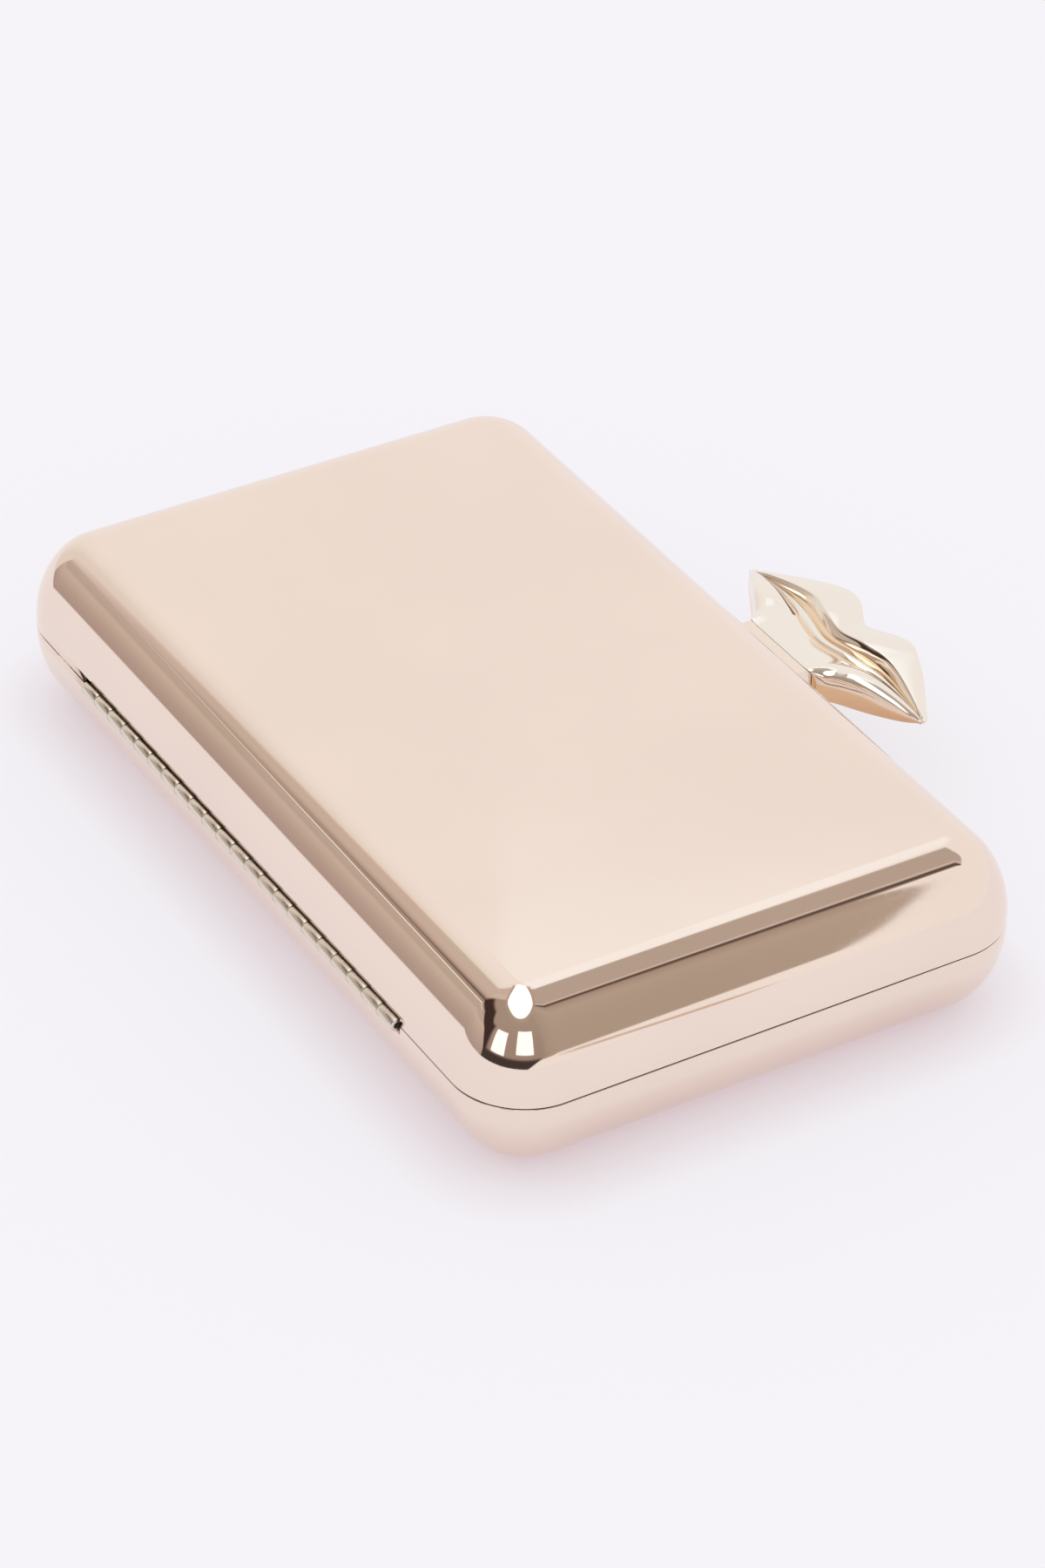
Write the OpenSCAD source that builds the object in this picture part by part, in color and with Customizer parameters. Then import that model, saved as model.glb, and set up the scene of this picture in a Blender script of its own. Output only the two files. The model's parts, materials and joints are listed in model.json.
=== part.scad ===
/* [Box] */
// Length of the box along its hinge
body_l = 175; // [160:1:190]
// Width of the box from the hinge side to the clasp side
body_w = 105.5; // [96:0.5:116]
// Height of one half, from its edge at the seam to its flat face
half_h = 16.4; // [15.5:0.1:18]
// Gap between the edges of the two halves
seam_gap = 0.2; // [0.1:0.05:0.3]
// Radius of the four corners seen from the front
corner_r = 13.5; // [13:0.5:18]
// Reach of the rounded edge inwards over the face
edge_reach = 12; // [11.5:0.1:12.5]
// Radius of the tighter arc, next to the flat face
face_arc_r = 10.5; // [9.5:0.1:11]
// Height of the upright band of wall next to the seam
band_h = 1.1; // [0.8:0.1:1.5]
// Thickness of the pressed metal
wall_t = 0.9; // [0.7:0.05:1]

/* [Rims and lining] */
// Thickness of the inner rims
rim_t = 0.7; // [0.5:0.05:0.75]
// Height of the inner rims along the wall
rim_h = 4.5; // [3:0.1:6]
// How far the back rim's lip stands past the seam
lip_h = 1; // [0.6:0.1:1.2]
// Gap between the lip and the front half's wall
lip_clear = 0.15; // [0.1:0.05:0.25]
// Space between a wall and its lining tray, which the rim and the card fill
tray_gap = 0.8; // [0.8:0.05:1]
// Thickness of the lining trays
tray_t = 1; // [0.8:0.1:1.3]
// Distance from the seam to the edge of a lining tray
tray_drop = 1.6; // [1.5:0.1:2.5]
// Thickness of the padded floor panels
pad_t = 3; // [2:0.5:4]
// Gap round a floor panel
pad_clear = 0.5; // [0.4:0.1:1.5]
// Radius of the corners of the floor panels and cards
pad_r = 7; // [4:0.5:10]
// Length of the slip pocket in the front half
pocket_l = 118; // [100:1:130]
// Height of the slip pocket, from its sewn edge to its mouth
pocket_h = 52; // [40:1:60]
// Thickness of the pocket's doubled cloth
pocket_t = 0.8; // [0.6:0.1:1.2]
// Width of the binding along the pocket's mouth
binding_w = 6; // [4:0.5:10]
// Thickness of the binding
binding_t = 0.5; // [0.4:0.1:0.8]

/* [Hinge] */
// Length of the piano hinge
hinge_l = 113; // [100:1:125]
// Number of knuckles, shared by turns between the two leaves
knuckles = 22; // [14:2:26]
// Outside radius of the knuckles
knuckle_r = 1.2; // [1.1:0.05:1.3]
// Radius of the hinge pin
hinge_pin_r = 0.55; // [0.45:0.05:0.6]
// How far the pin's ends lie inside the tube
pin_recess = 1.2; // [0.5:0.1:3]
// Gap between one knuckle and the next
knuckle_gap = 0.12; // [0.1:0.01:0.2]
// How far the hinge axis lies outside the wall
hinge_out = 0.25; // [0.2:0.05:0.5]
// Gap between the knuckles and the slot in the walls
slot_clear = 0.5; // [0.4:0.05:0.7]
// Thickness of the leaves
leaf_t = 0.5; // [0.4:0.05:0.6]
// Height of the leaves along the wall
leaf_h = 8; // [6:0.5:10]

/* [Clasp] */
// How far the keeper block stands out from the wall
keeper_out = 5.15; // [4.9:0.05:5.4]
// Height of the clasp's top above the seam
clasp_h = 5.3; // [5.1:0.1:5.6]
// Width of the bevel along the keeper's top edge
bevel_w = 1; // [0.6:0.1:1.2]
// Height of that bevel
bevel_h = 1.1; // [0.6:0.1:1.3]
// Width of the keeper, of the clasp bracket and of the seat in the lips
clasp_w = 18.5; // [18:0.1:20.5]
// Thickness of the lever's bar
bar_t = 2; // [1.8:0.1:2.4]
// Gap between the keeper and the bar, and round the lever's other faces
clasp_gap = 0.1; // [0.08:0.01:0.15]
// Width of each lug of the bracket
lug_w = 2.6; // [2:0.1:3]
// Radius of the lugs and of the lever's boss
lug_r = 2.1; // [1.9:0.1:2.2]
// Radius of the clasp's pivot pin
pivot_r = 0.8; // [0.6:0.05:0.9]
// Distance from the seam down to the pivot
pivot_drop = 3.9; // [3.7:0.1:4.3]
// Thickness of the bracket's plate on the wall
plate_t = 1.2; // [1:0.05:1.3]
// Width of the hook
hook_w = 9; // [8:0.2:9.4]
// How far the hook reaches into the keeper
hook_bite = 0.95; // [0.6:0.05:1.1]
// Wire thickness of the clasp's spring
wire_d = 0.4; // [0.3:0.05:0.45]
// Number of whole turns in the clasp's spring
spring_turns = 5; // [3:1:7]

/* [Lips] */
// Width of the lips from corner to corner
lips_w = 56.8; // [50:0.4:60]
// Height of the lips from the keeper to the top of the upper lip
lips_h = 21.4; // [19:0.1:23.5]
// Measure of the lips' fullness in front of the plane through their corners
lips_full = 4; // [3.5:0.1:4.5]
// Distance from the seam up to that plane
lips_rise = 1.1; // [0.9:0.1:1.2]

/* [Hidden] */
$fn = 64;

// One overrun for all cuts that pass right through
overrun = 1;
// Radial gap of every pin and rivet in its hole
fit_gap = 0.05;

// Heights of the seam's middle and of the flat faces, from the seam's middle
seam_z = half_h + seam_gap / 2;
edge_z = seam_gap / 2;
face_z = edge_z + half_h;
// Centres of the corners
corner_x = body_l / 2 - corner_r;
corner_y = body_w / 2 - corner_r;
// The rounded edge is two arcs that meet without a kink
band_z = edge_z + band_h;
rise = half_h - band_h;
wall_arc_r = (pow(edge_reach, 2) + pow(rise - face_arc_r, 2) - pow(face_arc_r, 2))
    / (2 * (edge_reach - face_arc_r));
meet_angle = atan((rise - face_arc_r) / (wall_arc_r - edge_reach));
face_arc_x = corner_r - edge_reach;
face_arc_z = face_z - face_arc_r;
meet_z = band_z + wall_arc_r * tan(meet_angle);

// The hinge side and the clasp side of the box
hinge_y = -body_w / 2 - hinge_out;
wall_y = body_w / 2;
tray_inset = wall_t + tray_gap;
floor_inset = tray_inset + tray_t;
pitch = hinge_l / knuckles;
pin_hole_r = hinge_pin_r + fit_gap;
slot_h = knuckle_r + slot_clear;
// Half widths of the gaps in the rims
rim_end_gap = 1.5;
hinge_notch = hinge_l / 2 + rim_end_gap;
clasp_notch = clasp_w / 2 + rim_end_gap;

// Places in the clasp
keeper_y = wall_y + keeper_out;
bar_y = keeper_y + clasp_gap;
seat_y = bar_y + bar_t;
// The bar is let into the back of the lips
bar_end_gap = 0.05;
bar_cover = 1.5;
bar_w = clasp_w - 2 * bar_end_gap;
bar_top = clasp_h - bar_cover;
pivot_gap = 0.35;
pivot_y = wall_y + plate_t + pivot_gap + lug_r;
plate_top = 0.5;
plate_drop = 7.3;
tang_w = clasp_w - 2 * lug_w - 4 * clasp_gap;
bar_bottom = 0.3;
tail_drop = 5.4;
well_w = 7;
well_wall = 1.5;
well_drop = 1.5;
web_share = 1.5;
// The keeper's pocket and the hook's nose in it
pocket_side_gap = 0.4;
ledge_h = 1.1;
nose_gap = 0.25;
nose_h = 1.3;
pocket_head = 0.3;
pocket_back_gap = 1.1;
pocket_depth = hook_bite + pocket_back_gap;
nose_z = edge_z + ledge_h + nose_gap;
hook_t = 1;
hook_foot = 0.9;
hook_head = 0.1;
hook_rivet_x = 2.8;
hook_rivet_z = 0.1;
hook_rivet_r = 0.6;
// Rivets of the keeper and of the bracket
rivet_r = 0.8;
rivet_head_r = 1.4;
rivet_head_t = 0.65;
keeper_rivet_edge = 1.6;
keeper_rivet_x = clasp_w / 2 - keeper_rivet_edge;
keeper_rivet_z = 2.6;
keeper_rivet_l = 3.2;
bracket_rivet_x = 5;
sink_r = 1.4;
sink_t = 0.6;
// Screws of the lips
screw_r = 0.6;
screw_head_r = 1.1;
screw_head_t = 0.7;
screw_edge = 2.1;
screw_x = clasp_w / 2 - screw_edge;
screw_z = 1.7;
screw_l = 5;
// The spring's coil and legs
coil_gap = 0.2;
coil_r = pivot_r + coil_gap + wire_d / 2;
coil_w = 2.6;
leg_l = 2;
coil_steps = 12;

// Section of a half at a corner: distance out from the corner's centre against height over the
// seam. Every inner surface is this section, drawn in by inset.
module edge_section(inset, from_z) {
    translate([0, from_z]) square([corner_r - inset, band_z - from_z]);
    intersection() {
        translate([corner_r - wall_arc_r, band_z]) circle(wall_arc_r - inset);
        polygon([[0, band_z], [corner_r, band_z], [corner_r, meet_z], [face_arc_x, face_arc_z],
            [0, face_arc_z]]);
    }
    intersection() {
        translate([face_arc_x, face_arc_z]) circle(face_arc_r - inset);
        polygon([[face_arc_x, face_arc_z], [corner_r, meet_z], [corner_r, face_z],
            [face_arc_x, face_z]]);
    }
    translate([0, face_arc_z]) square([face_arc_x, face_z - inset - face_arc_z]);
}

// A solid half, drawn in by inset, from from_z over the seam up to its face
module half_solid(inset, from_z) {
    for (turn = [0, 180]) rotate([0, 0, turn]) {
        translate([corner_x, corner_y, 0]) rotate_extrude(angle = 90) edge_section(inset, from_z);
        translate([-corner_x, corner_y, 0]) rotate([0, 0, 90]) rotate_extrude(angle = 90)
            edge_section(inset, from_z);
        translate([0, corner_y, 0]) rotate([90, 0, 90]) linear_extrude(2 * corner_x, center = true)
            edge_section(inset, from_z);
        translate([corner_x, 0, 0]) rotate([90, 0, 0]) linear_extrude(2 * corner_y, center = true)
            edge_section(inset, from_z);
    }
    translate([-corner_x, -corner_y, from_z])
        cube([2 * corner_x, 2 * corner_y, face_z - inset - from_z]);
}

// A layer that lines the wall between two insets, from z1 to z2 over the seam
module wall_layer(outer, inner, z1, z2) {
    intersection() {
        difference() {
            half_solid(outer, z1);
            half_solid(inner, z1 - overrun);
        }
        translate([-body_l / 2, -body_w / 2, z1]) cube([body_l, body_w, z2 - z1]);
    }
}

// The same layer along the straight part of one long side, length l, lying on the clasp side
module side_layer(outer, inner, z1, z2, l) {
    rotate([90, 0, 90]) linear_extrude(l, center = true) translate([corner_y, 0]) difference() {
        intersection() {
            edge_section(outer, 0);
            translate([0, z1]) square([corner_r, z2 - z1]);
        }
        edge_section(inner, -overrun);
    }
}

// Puts a piece drawn over the seam into the front half, or turned over into the back half
module in_front() { translate([0, 0, seam_z]) children(); }
module in_back() { translate([0, 0, seam_z]) mirror([0, 0, 1]) children(); }

// A round bar along X or along Y, from its start
module x_bar(r, l) { rotate([0, 90, 0]) cylinder(r = r, h = l); }
module y_bar(r, l) { rotate([-90, 0, 0]) cylinder(r = r, h = l); }

// A flat sheet with round corners, centred on the origin
module sheet(l, w, r, t) {
    linear_extrude(t) {
        square([l - 2 * r, w], center = true);
        square([l, w - 2 * r], center = true);
        for (x = [-1, 1], y = [-1, 1]) translate([x * (l / 2 - r), y * (w / 2 - r)]) circle(r);
    }
}

// A pressed half with the slot that takes the hinge's knuckles
module pressed_half() {
    difference() {
        half_solid(0, edge_z);
        half_solid(wall_t, -overrun);
        translate([-hinge_l / 2 - slot_clear, -body_w / 2 - overrun, -overrun])
            cube([hinge_l + 2 * slot_clear, wall_t + 2 * overrun, slot_h + overrun]);
    }
}

module rim_notches() {
    translate([-hinge_notch, -body_w / 2, -half_h]) cube([2 * hinge_notch, corner_r, 2 * half_h]);
    translate([-clasp_notch, body_w / 2 - corner_r, -half_h])
        cube([2 * clasp_notch, corner_r, 2 * half_h]);
}

module lining_tray() {
    difference() {
        half_solid(tray_inset, tray_drop);
        half_solid(floor_inset, tray_drop - overrun);
    }
}

// Length and width of the flat floor inside a half
floor_l = 2 * (corner_x + face_arc_x) - 2 * pad_clear;
floor_w = 2 * (corner_y + face_arc_x) - 2 * pad_clear;
module backing_card() {
    translate([0, 0, face_z - tray_inset]) sheet(floor_l, floor_w, pad_r, tray_gap);
}
module floor_pad() {
    translate([0, 0, face_z - floor_inset - pad_t]) sheet(floor_l, floor_w, pad_r, pad_t);
}

// One leaf of the piano hinge: a curved plate on the wall, and every second knuckle
module hinge_leaf(first) {
    difference() {
        union() {
            mirror([0, 1, 0])
                side_layer(wall_t, wall_t + leaf_t, knuckle_r - leaf_t, leaf_h, hinge_l);
            for (i = [first:2:knuckles - 1])
                translate([-hinge_l / 2 + i * pitch + knuckle_gap / 2, hinge_y, 0]) {
                    x_bar(knuckle_r, pitch - knuckle_gap);
                    translate([0, 0, knuckle_r - leaf_t])
                        cube([pitch - knuckle_gap, hinge_out + wall_t + leaf_t / 2, leaf_t]);
                }
        }
        translate([-hinge_l / 2 - overrun, hinge_y, 0]) x_bar(pin_hole_r, hinge_l + 2 * overrun);
    }
}

// The peened head of a rivet, which follows the inside of the wall
module peened_head(x, z) {
    intersection() {
        translate([x, wall_y - corner_r, z]) y_bar(rivet_head_r, corner_r);
        side_layer(wall_t, wall_t + rivet_head_t, 0, 2 * pivot_drop, clasp_w);
    }
}

module bracket_rivet_holes() {
    for (x = [-1, 0, 1]) translate([x * bracket_rivet_x, wall_y - 2 * wall_t, pivot_drop])
        y_bar(rivet_r + fit_gap, plate_t + 3 * wall_t);
}

module keeper_rivet_holes() {
    for (x = [-1, 1]) translate([x * keeper_rivet_x, wall_y - 2 * wall_t, keeper_rivet_z])
        y_bar(rivet_r + fit_gap, 2 * wall_t + keeper_rivet_l + fit_gap);
}

module back_shell() color("#E6CDBC") in_back() difference() {
    pressed_half();
    bracket_rivet_holes();
}

module front_shell() color("#EAD6C6") in_front() difference() {
    pressed_half();
    keeper_rivet_holes();
}

module back_rim() color("#D9BFA9") in_back() difference() {
    union() {
        wall_layer(wall_t, wall_t + rim_t, edge_z, band_z + rim_h);
        wall_layer(wall_t + lip_clear, wall_t + rim_t, -lip_h, band_z + rim_h / 2);
    }
    rim_notches();
}

module front_rim() color("#D9BFA9") in_front() difference() {
    wall_layer(wall_t, wall_t + rim_t, tray_drop, tray_drop + rim_h);
    rim_notches();
}

module back_backing_card() color("#8C7A66") in_back() backing_card();
module front_backing_card() color("#8C7A66") in_front() backing_card();
module back_lining_tray() color("#3A2F35") in_back() lining_tray();
module front_lining_tray() color("#3A2F35") in_front() lining_tray();
module back_floor_pad() color("#4A3C44") in_back() floor_pad();
module front_floor_pad() color("#4A3C44") in_front() floor_pad();

// The slip pocket lies on the front half's floor panel, with its mouth towards the clasp
pocket_z = face_z - floor_inset - pad_t;
pocket_y = -floor_w / 2 + pocket_h / 2 + pad_clear;
module pocket_panel() color("#54454E") in_front()
    translate([0, pocket_y, pocket_z - pocket_t]) sheet(pocket_l, pocket_h, pad_r / 2, pocket_t);

module pocket_binding() color("#2E2529") in_front()
    translate([-pocket_l / 2 + pad_r / 2, pocket_y + pocket_h / 2 - binding_w,
        pocket_z - pocket_t - binding_t])
        cube([pocket_l - pad_r, binding_w, binding_t]);

module hinge_leaf_back() color("#B9AE9C") in_back() hinge_leaf(0);
module hinge_leaf_front() color("#C2B7A5") in_front() hinge_leaf(1);

module hinge_pin() color("#8E8E8C") translate([-hinge_l / 2 + pin_recess, hinge_y, seam_z])
    x_bar(hinge_pin_r, hinge_l - 2 * pin_recess);

// Turned over with the back half, so that its heights run down from the seam
module clasp_bracket() color("#D8C2B0") in_back() difference() {
    union() {
        translate([-clasp_w / 2, wall_y - corner_r, plate_top])
            cube([clasp_w, corner_r + plate_t, plate_drop - plate_top]);
        for (x = [-clasp_w / 2, clasp_w / 2 - lug_w]) translate([x, 0, 0]) {
            translate([0, pivot_y, pivot_drop]) x_bar(lug_r, lug_w);
            translate([0, wall_y, pivot_drop - lug_r]) cube([lug_w, pivot_y - wall_y, 2 * lug_r]);
        }
    }
    half_solid(0, -overrun);
    translate([-clasp_w / 2 - overrun, pivot_y, pivot_drop])
        x_bar(pivot_r + fit_gap, clasp_w + 2 * overrun);
    bracket_rivet_holes();
    for (x = [-1, 0, 1]) translate([x * bracket_rivet_x, wall_y + plate_t - sink_t, pivot_drop])
        rotate([-90, 0, 0]) cylinder(r1 = rivet_r + fit_gap, r2 = sink_r, h = sink_t);
}

module clasp_bracket_rivets() color("#CDB49D") in_back() for (i = [-1, 0, 1]) {
    x = i * bracket_rivet_x;
    peened_head(x, pivot_drop);
    translate([x, wall_y - wall_t - rivet_head_t / 2, pivot_drop])
        y_bar(rivet_r, wall_t + rivet_head_t / 2 + plate_t);
    translate([x, wall_y + plate_t - sink_t, pivot_drop]) rotate([-90, 0, 0])
        cylinder(r1 = rivet_r, r2 = sink_r - fit_gap, h = sink_t);
}

module clasp_pivot_pin() color("#8E8E8C") translate([-clasp_w / 2, pivot_y, seam_z - pivot_drop])
    x_bar(pivot_r, clasp_w);

// The spring's wire: up one leg, round the coil, and down the other leg. Each entry is a place
// and the angle of its ring.
coil_turn = 360 * spring_turns + 180;
coil_rings = spring_turns * coil_steps + coil_steps / 2;
leg_y = wall_y + plate_t + fit_gap + wire_d / 2;
function coil_place(i) = let(a = 180 - coil_turn * i / coil_rings)
    [[coil_w * (i / coil_rings - 1 / 2), pivot_y + coil_r * cos(a),
        seam_z - pivot_drop + coil_r * sin(a)], a];
wire_path = concat(
    [[[-coil_w / 2, leg_y, seam_z - pivot_drop - leg_l], 180]],
    [for (i = [0:coil_rings]) coil_place(i)],
    [[[coil_w / 2, seat_y - well_wall - fit_gap - wire_d / 2, seam_z - pivot_drop - leg_l], 0]]);
wire_sides = 6;
module clasp_spring() color("#9A9A98") polyhedron(
    points = [for (p = wire_path, k = [0:wire_sides - 1]) let(b = 360 * k / wire_sides)
        p[0] + wire_d / 2 * [sin(b), cos(b) * cos(p[1]), cos(b) * sin(p[1])]],
    faces = concat(
        [[for (k = [0:wire_sides - 1]) wire_sides - 1 - k]],
        [[for (k = [0:wire_sides - 1]) (len(wire_path) - 1) * wire_sides + k]],
        [for (i = [0:len(wire_path) - 2], k = [0:wire_sides - 1], half = [0, 1])
            let(a = i * wire_sides + k, b = i * wire_sides + (k + 1) % wire_sides)
            half == 0 ? [a, b, b + wire_sides] : [a, b + wire_sides, a + wire_sides]]));

// The lever: a bar beside the keeper, over a tang that turns on the pivot pin
module clasp_lever() color("#DDC3A6") translate([0, 0, seam_z]) difference() {
    union() {
        translate([-bar_w / 2, bar_y, bar_bottom]) cube([bar_w, bar_t, bar_top - bar_bottom]);
        translate([-tang_w / 2, bar_y, -tail_drop]) cube([tang_w, bar_t, tail_drop + bar_top / 2]);
        translate([-tang_w / 2, pivot_y, -pivot_drop]) {
            x_bar(lug_r, tang_w);
            translate([0, 0, -lug_r / 2]) cube([tang_w, seat_y - pivot_y, web_share * lug_r]);
        }
    }
    translate([-clasp_w / 2, pivot_y, -pivot_drop]) x_bar(pivot_r + fit_gap, clasp_w);
    translate([-well_w / 2, wall_y, -tail_drop - overrun])
        cube([well_w, seat_y - well_wall - wall_y, tail_drop + overrun - well_drop]);
    translate([-hook_w / 2, bar_y - overrun, -hook_foot])
        cube([hook_w, hook_t + overrun, nose_z + nose_h + hook_foot + hook_head]);
    for (x = [-1, 1]) {
        translate([x * hook_rivet_x, bar_y, hook_rivet_z])
            y_bar(hook_rivet_r + fit_gap, bar_t + overrun);
        translate([x * screw_x, bar_y - overrun, screw_z])
            y_bar(screw_r + fit_gap, bar_t + 2 * overrun);
        translate([x * screw_x, bar_y, screw_z]) rotate([-90, 0, 0])
            cylinder(r1 = screw_head_r + fit_gap, r2 = screw_r + fit_gap, h = screw_head_t);
    }
}

// The hook: a plate let into the bar, with a nose that is flat below and slopes above
module clasp_hook() color("#A9A7A3") translate([0, 0, seam_z]) difference() {
    rotate([90, 0, 90]) linear_extrude(hook_w - 2 * fit_gap, center = true) polygon([
        [bar_y + hook_t, -hook_foot + fit_gap], [bar_y + hook_t, nose_z + nose_h],
        [bar_y, nose_z + nose_h], [keeper_y - hook_bite, nose_z + nose_h / 3],
        [keeper_y - hook_bite, nose_z], [bar_y, nose_z], [bar_y, -hook_foot + fit_gap]]);
    for (x = [-1, 1]) translate([x * hook_rivet_x, bar_y - overrun, hook_rivet_z])
        y_bar(hook_rivet_r + fit_gap, hook_t + 2 * overrun);
}

module hook_rivets() color("#CDB49D") for (x = [-1, 1])
    translate([x * hook_rivet_x, bar_y, seam_z + hook_rivet_z]) y_bar(hook_rivet_r, bar_t);

module keeper_block() color("#E0CBBB") in_front() difference() {
    rotate([90, 0, 90]) linear_extrude(clasp_w, center = true) polygon([
        [wall_y - corner_r, edge_z], [keeper_y, edge_z], [keeper_y, clasp_h - bevel_h],
        [keeper_y - bevel_w, clasp_h], [wall_y - corner_r, clasp_h]]);
    half_solid(0, -overrun);
    keeper_rivet_holes();
    translate([-hook_w / 2 - pocket_side_gap, keeper_y - pocket_depth, edge_z + ledge_h])
        cube([hook_w + 2 * pocket_side_gap, pocket_depth + overrun,
            nose_gap + nose_h + pocket_head]);
}

module keeper_rivets() color("#CDB49D") in_front() for (x = [-1, 1]) {
    peened_head(x * keeper_rivet_x, keeper_rivet_z);
    translate([x * keeper_rivet_x, wall_y - wall_t - rivet_head_t / 2, keeper_rivet_z])
        y_bar(rivet_r, wall_t + rivet_head_t / 2 + keeper_rivet_l);
}

module lips_screws() color("#C9B08F") for (x = [-1, 1])
    translate([x * screw_x, bar_y, seam_z + screw_z]) {
        y_bar(screw_r, screw_l);
        rotate([-90, 0, 0]) cylinder(r1 = screw_head_r, r2 = screw_r, h = screw_head_t);
    }

// Lines along the lips as shares: distance from the middle over half the width, distance from the
// keeper over the height, and height over the fullness. The rim is the widest line of the lower
// lip, the edge is the top of its upright side, the ridge and the upper line bound the mouth, and
// the crest is the fullest line of the upper lip.
seat_share = clasp_w / lips_w;
seat_rim_share = (clasp_h - bevel_h - lips_rise) / lips_full;
seat_edge_share = (clasp_h - lips_rise) / lips_full;
rim_shares = [[seat_share, 0, seat_rim_share], [0.373, 0.014, 0.42], [0.408, 0.044, 0.41],
    [0.5, 0.125, 0.44], [0.634, 0.22, 0.47], [0.775, 0.322, 0.3], [0.915, 0.43, 0.175],
    [1, 0.523, 0]];
edge_shares = [[seat_share, -bevel_w / lips_h, seat_edge_share], [0.408, 0.049, 0.7],
    [0.5, 0.133, 0.69], [0.634, 0.228, 0.67], [0.775, 0.329, 0.45], [0.915, 0.435, 0.25], [1, 0.523, 0]];
ridge_shares = [[0, 0.314, 0.54], [0.21, 0.355, 0.56], [0.32, 0.402, 0.5], [0.42, 0.457, 0.4],
    [0.56, 0.5, 0.3], [0.8, 0.527, 0.22], [0.93, 0.529, 0.16], [1, 0.523, 0]];
upper_shares = [[0, 0.5, 0.62], [0.21, 0.546, 0.65], [0.32, 0.589, 0.55], [0.42, 0.621, 0.42],
    [0.53, 0.62, 0.35], [0.74, 0.579, 0.27], [0.93, 0.537, 0.17], [1, 0.523, 0]];
crest_shares = [[0, 0.568, 0.86], [0.21, 0.61, 0.94], [0.35, 0.666, 0.86], [0.45, 0.681, 0.74],
    [0.63, 0.652, 0.57], [0.84, 0.587, 0.34], [0.93, 0.549, 0.19], [1, 0.523, 0]];
top_shares = [[0, 0.832, 0.55], [0.1, 0.889, 0.57], [0.21, 0.967, 0.6], [0.32, 1, 0.62],
    [0.42, 0.963, 0.66], [0.63, 0.846, 0.44], [0.84, 0.69, 0.2], [0.95, 0.605, 0.07],
    [1, 0.56, 0]];
// How far the lower lip swells over the line from its edge to the ridge
swell_shares = [[0, 0.08], [0.25, 0.12], [0.326, 0.22], [0.42, 0.48], [0.52, 0.55], [0.66, 0.5],
    [0.8, 0.34], [0.92, 0.12], [1, 0]];
// Between these places the swelling turns from a soft bow into a full round
bow_share = 0.22;
round_share = 0.42;
// Depth of the back behind the corners' plane, and how late it thins out towards the corners
back_share = 0.375;
thin_power_share = 3;
// Depth of the two grooves along the mouth
groove_share = 0.06;
// Where the swelling is highest, and where the corners' round ends start
swell_top_share = 0.55;
cap_share = 0.975;

// A smooth curve through a list of points
function slope(p, i) = i == 0 || i == len(p) - 1 ? 0
    : (p[i + 1][1] - p[i - 1][1]) / (p[i + 1][0] - p[i - 1][0]);
function end_slope(p, i) = i == len(p) - 1
    ? (p[i][1] - p[i - 1][1]) / (p[i][0] - p[i - 1][0]) : slope(p, i);
function span(p, x, i = 0) = i >= len(p) - 2 || x <= p[i + 1][0] ? i : span(p, x, i + 1);
function curve(p, x) = let(i = span(p, x), h = p[i + 1][0] - p[i][0], t = (x - p[i][0]) / h)
    (2 * pow(t, 3) - 3 * pow(t, 2) + 1) * p[i][1] + (3 * pow(t, 2) - 2 * pow(t, 3)) * p[i + 1][1]
    + (pow(t, 3) - 2 * pow(t, 2) + t) * h * end_slope(p, i)
    + (pow(t, 3) - pow(t, 2)) * h * end_slope(p, i + 1);

function mix(a, b, t) = a + (b - a) * t;
function clamp(x) = min(1, max(0, x));
function column(line, i) = [for (p = line) [p[0], p[i]]];
function at(line, u) = let(v = max(u, line[0][0]))
    [lips_h * curve(column(line, 1), v), lips_full * curve(column(line, 2), v)];

front_step_shares = [0.02, 0.08, 0.18, 0.32, 0.5, 0.65, 0.8, 0.92, 1];
mouth_step_shares = [[0.2, 1], [0.4, 0], [0.6, 1], [0.8, 0], [1, 1]];
crest_step_shares = [0.2, 0.45, 0.7, 1];
top_step_shares = [0.35, 0.7, 0.88, 1];
back_angles = [30, 60, 90];
back_turn_share = 0.06;

function swell(s, soft) = mix(s < swell_top_share ? sqrt(1 - pow(1 - s / swell_top_share, 2))
    : 1 - pow((s - swell_top_share) / (1 - swell_top_share), 2), 4 * s * (1 - s), soft);

// The closed outline of the lips at the share v of half the width: up the rim, across the front,
// round the top edge and back down behind. Each corner of the lips ends in a round cap.
function lips_ring(v) = let(u = min(v, cap_share),
        cap = sqrt(1 - pow(max(0, v - cap_share) / (1 - cap_share), 2)),
        rim = at(rim_shares, u), edge = at(edge_shares, u),
        ridge = at(ridge_shares, u), upper = at(upper_shares, u), crest = at(crest_shares, u),
        top = at(top_shares, u),
        thin = 1 - pow(clamp((u - seat_share) / (1 - seat_share)), thin_power_share),
        soft = clamp((round_share - u) / (round_share - bow_share)),
        back = -back_share * lips_full * thin, deep = groove_share * lips_full * thin,
        lip = [upper[0], upper[1] - deep], turn = back_turn_share * lips_h * thin,
        ring = concat(
            [[rim[0], back], rim, edge],
            [for (s = front_step_shares) mix(edge, ridge, s)
                + [0, lips_full * curve(swell_shares, u) * swell(s, soft)]],
            [for (s = mouth_step_shares) mix(ridge, upper, s[0]) - [0, deep * s[1]]],
            [for (s = crest_step_shares) [mix(lip[0], crest[0], s), mix(lip[1], crest[1], sin(90 * s))]],
            [for (s = top_step_shares) [mix(crest[0], top[0], s), mix(crest[1], top[1], s * s)]],
            [for (a = back_angles) [top[0] - turn * (1 - cos(a)), mix(top[1], back, sin(a))]]))
    [for (p = ring) [mix(lips_corner_y, p[0], cap), p[1] * cap]];
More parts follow.
